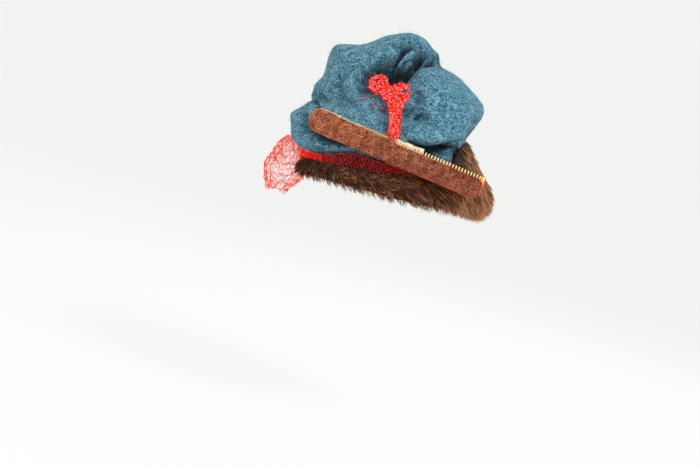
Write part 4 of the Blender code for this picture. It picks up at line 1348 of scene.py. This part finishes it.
# %% Bow of netting
# Outline in millimetres across and up, as seen from the front
BOW_OUTLINE = [
    (-4.0, 56), (-5.0, 62), (-5.5, 68), (-7.5, 76), (-10, 83), (-14, 90), (-22, 95), (-30, 97),
    (-36, 101), (-36.5, 107), (-33, 113), (-26, 115), (-21, 112.5), (-17.5, 107.5), (-15.5, 104.5),
    (-13, 105.5), (-10, 109.5), (-5, 112.5), (1, 111.5), (4.5, 107), (5, 102), (3.5, 96), (1.5, 89),
    (1.5, 81), (2.5, 73), (4, 67), (5, 61), (4.5, 56),
]
BOW_THICK = 6.0 * MM
BOW_VOXEL = 0.9 * MM
EYELETS = [(-0.5, 104.5, 3.3), (-29.5, 108.5, 2.3), (-29, 102, 2.0)]

bow_points = np.array([v.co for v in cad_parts["net_bow"].data.vertices])
levels = np.linspace(bow_points[:, 2].min(), bow_points[:, 2].max(), 9)
backs = [bow_points[np.abs(bow_points[:, 2] - level) < 5 * MM][:, 1].mean() for level in levels]
print("bow leans back by", round((backs[-1] - backs[0]) / MM), "mm")


def bow_lean(heights):
    return np.interp(heights, levels, backs)


def in_eyelet(flat, closer_mm=0.0):
    """Which places, across and up, lie in a hole of the bow."""
    hits = [np.hypot(*(flat / MM - (x, up)).T) < radius - closer_mm for x, up, radius in EYELETS]
    return np.any(hits, axis=0)


bow_core = cut_from_grid("bow_core", np.array(BOW_OUTLINE) * MM, BOW_VOXEL)
middles = np.array([face.center[:2] for face in bow_core.data.polygons])
cut_away(bow_core, "FACE", in_eyelet(middles))
modify(bow_core, "SOLIDIFY", thickness=BOW_THICK, offset=0.0)
modify(bow_core, "REMESH", mode="VOXEL", voxel_size=BOW_VOXEL)
modify(bow_core, "SMOOTH", factor=0.5, iterations=9)
flat = points_of(bow_core)
places = np.stack([flat[:, 0], flat[:, 2] + bow_lean(flat[:, 1]), flat[:, 1]], 1)
places[:, 1] += 1.5 * MM * np.cos((places[:, 0] / MM + 15) / 9)
places += ripple(places, 6, 101) * 0.55 * MM + ripple(places, 2.6, 102) * 0.3 * MM
move_points(bow_core, places)
with edit_mode(bow_core):
    bpy.ops.mesh.normals_make_consistent(inside=False)
smooth(bow_core, 80)

# Layer on layer of netting: bright red with painted white glints, and painted shade darkening the holes
# between threads
folded_net = new_material("folded_red_netting")
place = node(folded_net, "TexCoord").outputs["Object"]
cells = node(folded_net, "TexVoronoi", {"feature": "DISTANCE_TO_EDGE"},
             Vector=place, Scale=1 / (2.4 * MM))
bright = node(folded_net, "TexNoise", Vector=place, Scale=1 / (1.6 * MM), Detail=2.0)
# Painted glints: the near-white top of the ramp
folded_reds_with_painted_glints = [(0.38, "#a80000"), (0.46, "#f40c04"), (0.565, "#ff2010"), (0.61, "#ffe4d8")]
red = node(folded_net, "ValToRGB", stops=folded_reds_with_painted_glints, Fac=bright.outputs["Fac"])
# Painted shade: the holes between threads are darkened to deep red
painted_hole_shade_stops = [(0.20, "#000000"), (0.34, "#ffffff")]
painted_hole_shade = node(folded_net, "ValToRGB", stops=painted_hole_shade_stops, Fac=cells.outputs["Distance"])
woven = node(folded_net, "Mix", {"data_type": "RGBA"}, _0=painted_hole_shade.outputs["Color"], _6=red.outputs["Color"],
             _7=linear("#860000"))
bump = node(folded_net, "Bump", {"invert": True}, Height=cells.outputs["Distance"], Strength=0.8,
            Distance=0.6 * MM)
# Painted light: a red glow for the light that the layers of nylon pass on
painted_glow = {"Emission_Color": linear("#ff1004"), "Emission_Strength": 0.10}
set_shader(folded_net, Base_Color=woven.outputs[2], Normal=bump.outputs["Normal"], Roughness=0.4,
           Specular_IOR_Level=0.1, **painted_glow)
hand_over(bow_core, folded_net, "red_netting", "net_bow")

# %% Threads over the bow
BOW_CELL = 1.9 * MM
bow_net = bow_core.copy()
bow_net.data = bow_core.data.copy()
bpy.context.collection.objects.link(bow_net)
modify(bow_net, "REMESH", mode="VOXEL", voxel_size=BOW_CELL)
modify(bow_net, "DISPLACE", strength=0.5 * MM, mid_level=0.0)
cut_away(bow_net, "VERT", in_eyelet(points_of(bow_net)[:, (0, 2)], 0.3))
with edit_mode(bow_net):
    bpy.ops.mesh.poke()
places = points_of(bow_net)
places += ripple(places, 2.2, 111) * 0.5 * MM
move_points(bow_net, places)
thread(bow_net, 0.40)

STRAY_ENDS = 260
chance = np.random.default_rng(120)
roots, normals = scatter(bow_core, STRAY_ENDS, 121)
sideways = chance.normal(0, 1, (STRAY_ENDS, 3))
lengths = chance.uniform(1.5, 4.0, STRAY_ENDS) * MM
stray = hairs("stray_ends", roots, normals * 0.7 + sideways * 0.3, sideways * 0.6, lengths,
              np.full(STRAY_ENDS, 0.38 * MM), rows=5, seed=122)


# %% [markdown]
# One long thread has come loose from the bow and wanders over the felt. Its corners were read off the
# photograph, so rays from the camera find where each one lies on the crown.

# %% Loose threads
def on_piece(tree, x, y, off_mm):
    """The place on a piece that a pixel of the photograph looks at, held a little off it."""
    ray = Vector(((x - PICTURE_WIDE / 2) / focal_pixels, (PICTURE_HIGH / 2 - y) / focal_pixels, -1))
    ray = camera.rotation_quaternion @ ray.normalized()
    met, normal = tree.ray_cast(camera.location, ray)[:2]
    return met + normal * off_mm * MM


LOOSE_RADIUS = 0.22 * MM
STITCH_RADIUS = 0.35 * MM
LOOSE_THREAD = [
    (355, 99.6), (357.3, 100.8), (358.5, 99), (363.6, 98.5), (367, 97.3), (370.5, 100.8),
    (374, 106.5), (376.3, 107), (379.7, 106), (385.4, 110.5), (387.5, 114), (389, 120),
]
loose_way = [on_piece(crown_tree, x, y, 0.6) for x, y in LOOSE_THREAD]
loose = tube_through("loose_thread", loose_way, LOOSE_RADIUS)
bow_threads = join("bow_threads", [bow_net, stray, loose])
# Painted glints: the near-white top of the ramp; the glow is painted light too
tangled_reds_with_painted_glints = [(0.37, "#a80000"), (0.44, "#f60a04"), (0.585, "#ff1408"), (0.63, "#ffe4d8")]
bow_netting = nylon_material("tangled_red_netting", 1.5, tangled_reds_with_painted_glints, 0.12)
hand_over(bow_threads, bow_netting, "red_netting")

# A short stitch of yellow thread runs from the bow's foot to the padding
pad_top = max((v.co for v in pad.data.vertices), key=lambda co: co.x + 2 * co.z)
stitch_ends = [on_piece(crown_tree, 400.6, 136.5, 1.5), on_piece(crown_tree, 406, 142, 2.5)]
stitch_ends.append(Vector(pad_top))
yellow = new_material("yellow_sewing_thread")
twist = node(yellow, "TexWave", Vector=node(yellow, "TexCoord").outputs["Object"], Scale=1 / (3 * MM))
gold_threads = [(0.2, "#b88a1c"), (0.8, "#f0cf55")]
golds = node(yellow, "ValToRGB", stops=gold_threads, Fac=twist.outputs["Fac"])
set_shader(yellow, Base_Color=golds.outputs["Color"], Roughness=0.5)
stitch = tube_through("yellow_stitch", stitch_ends, STITCH_RADIUS)
hand_over(stitch, yellow, "white_padding")
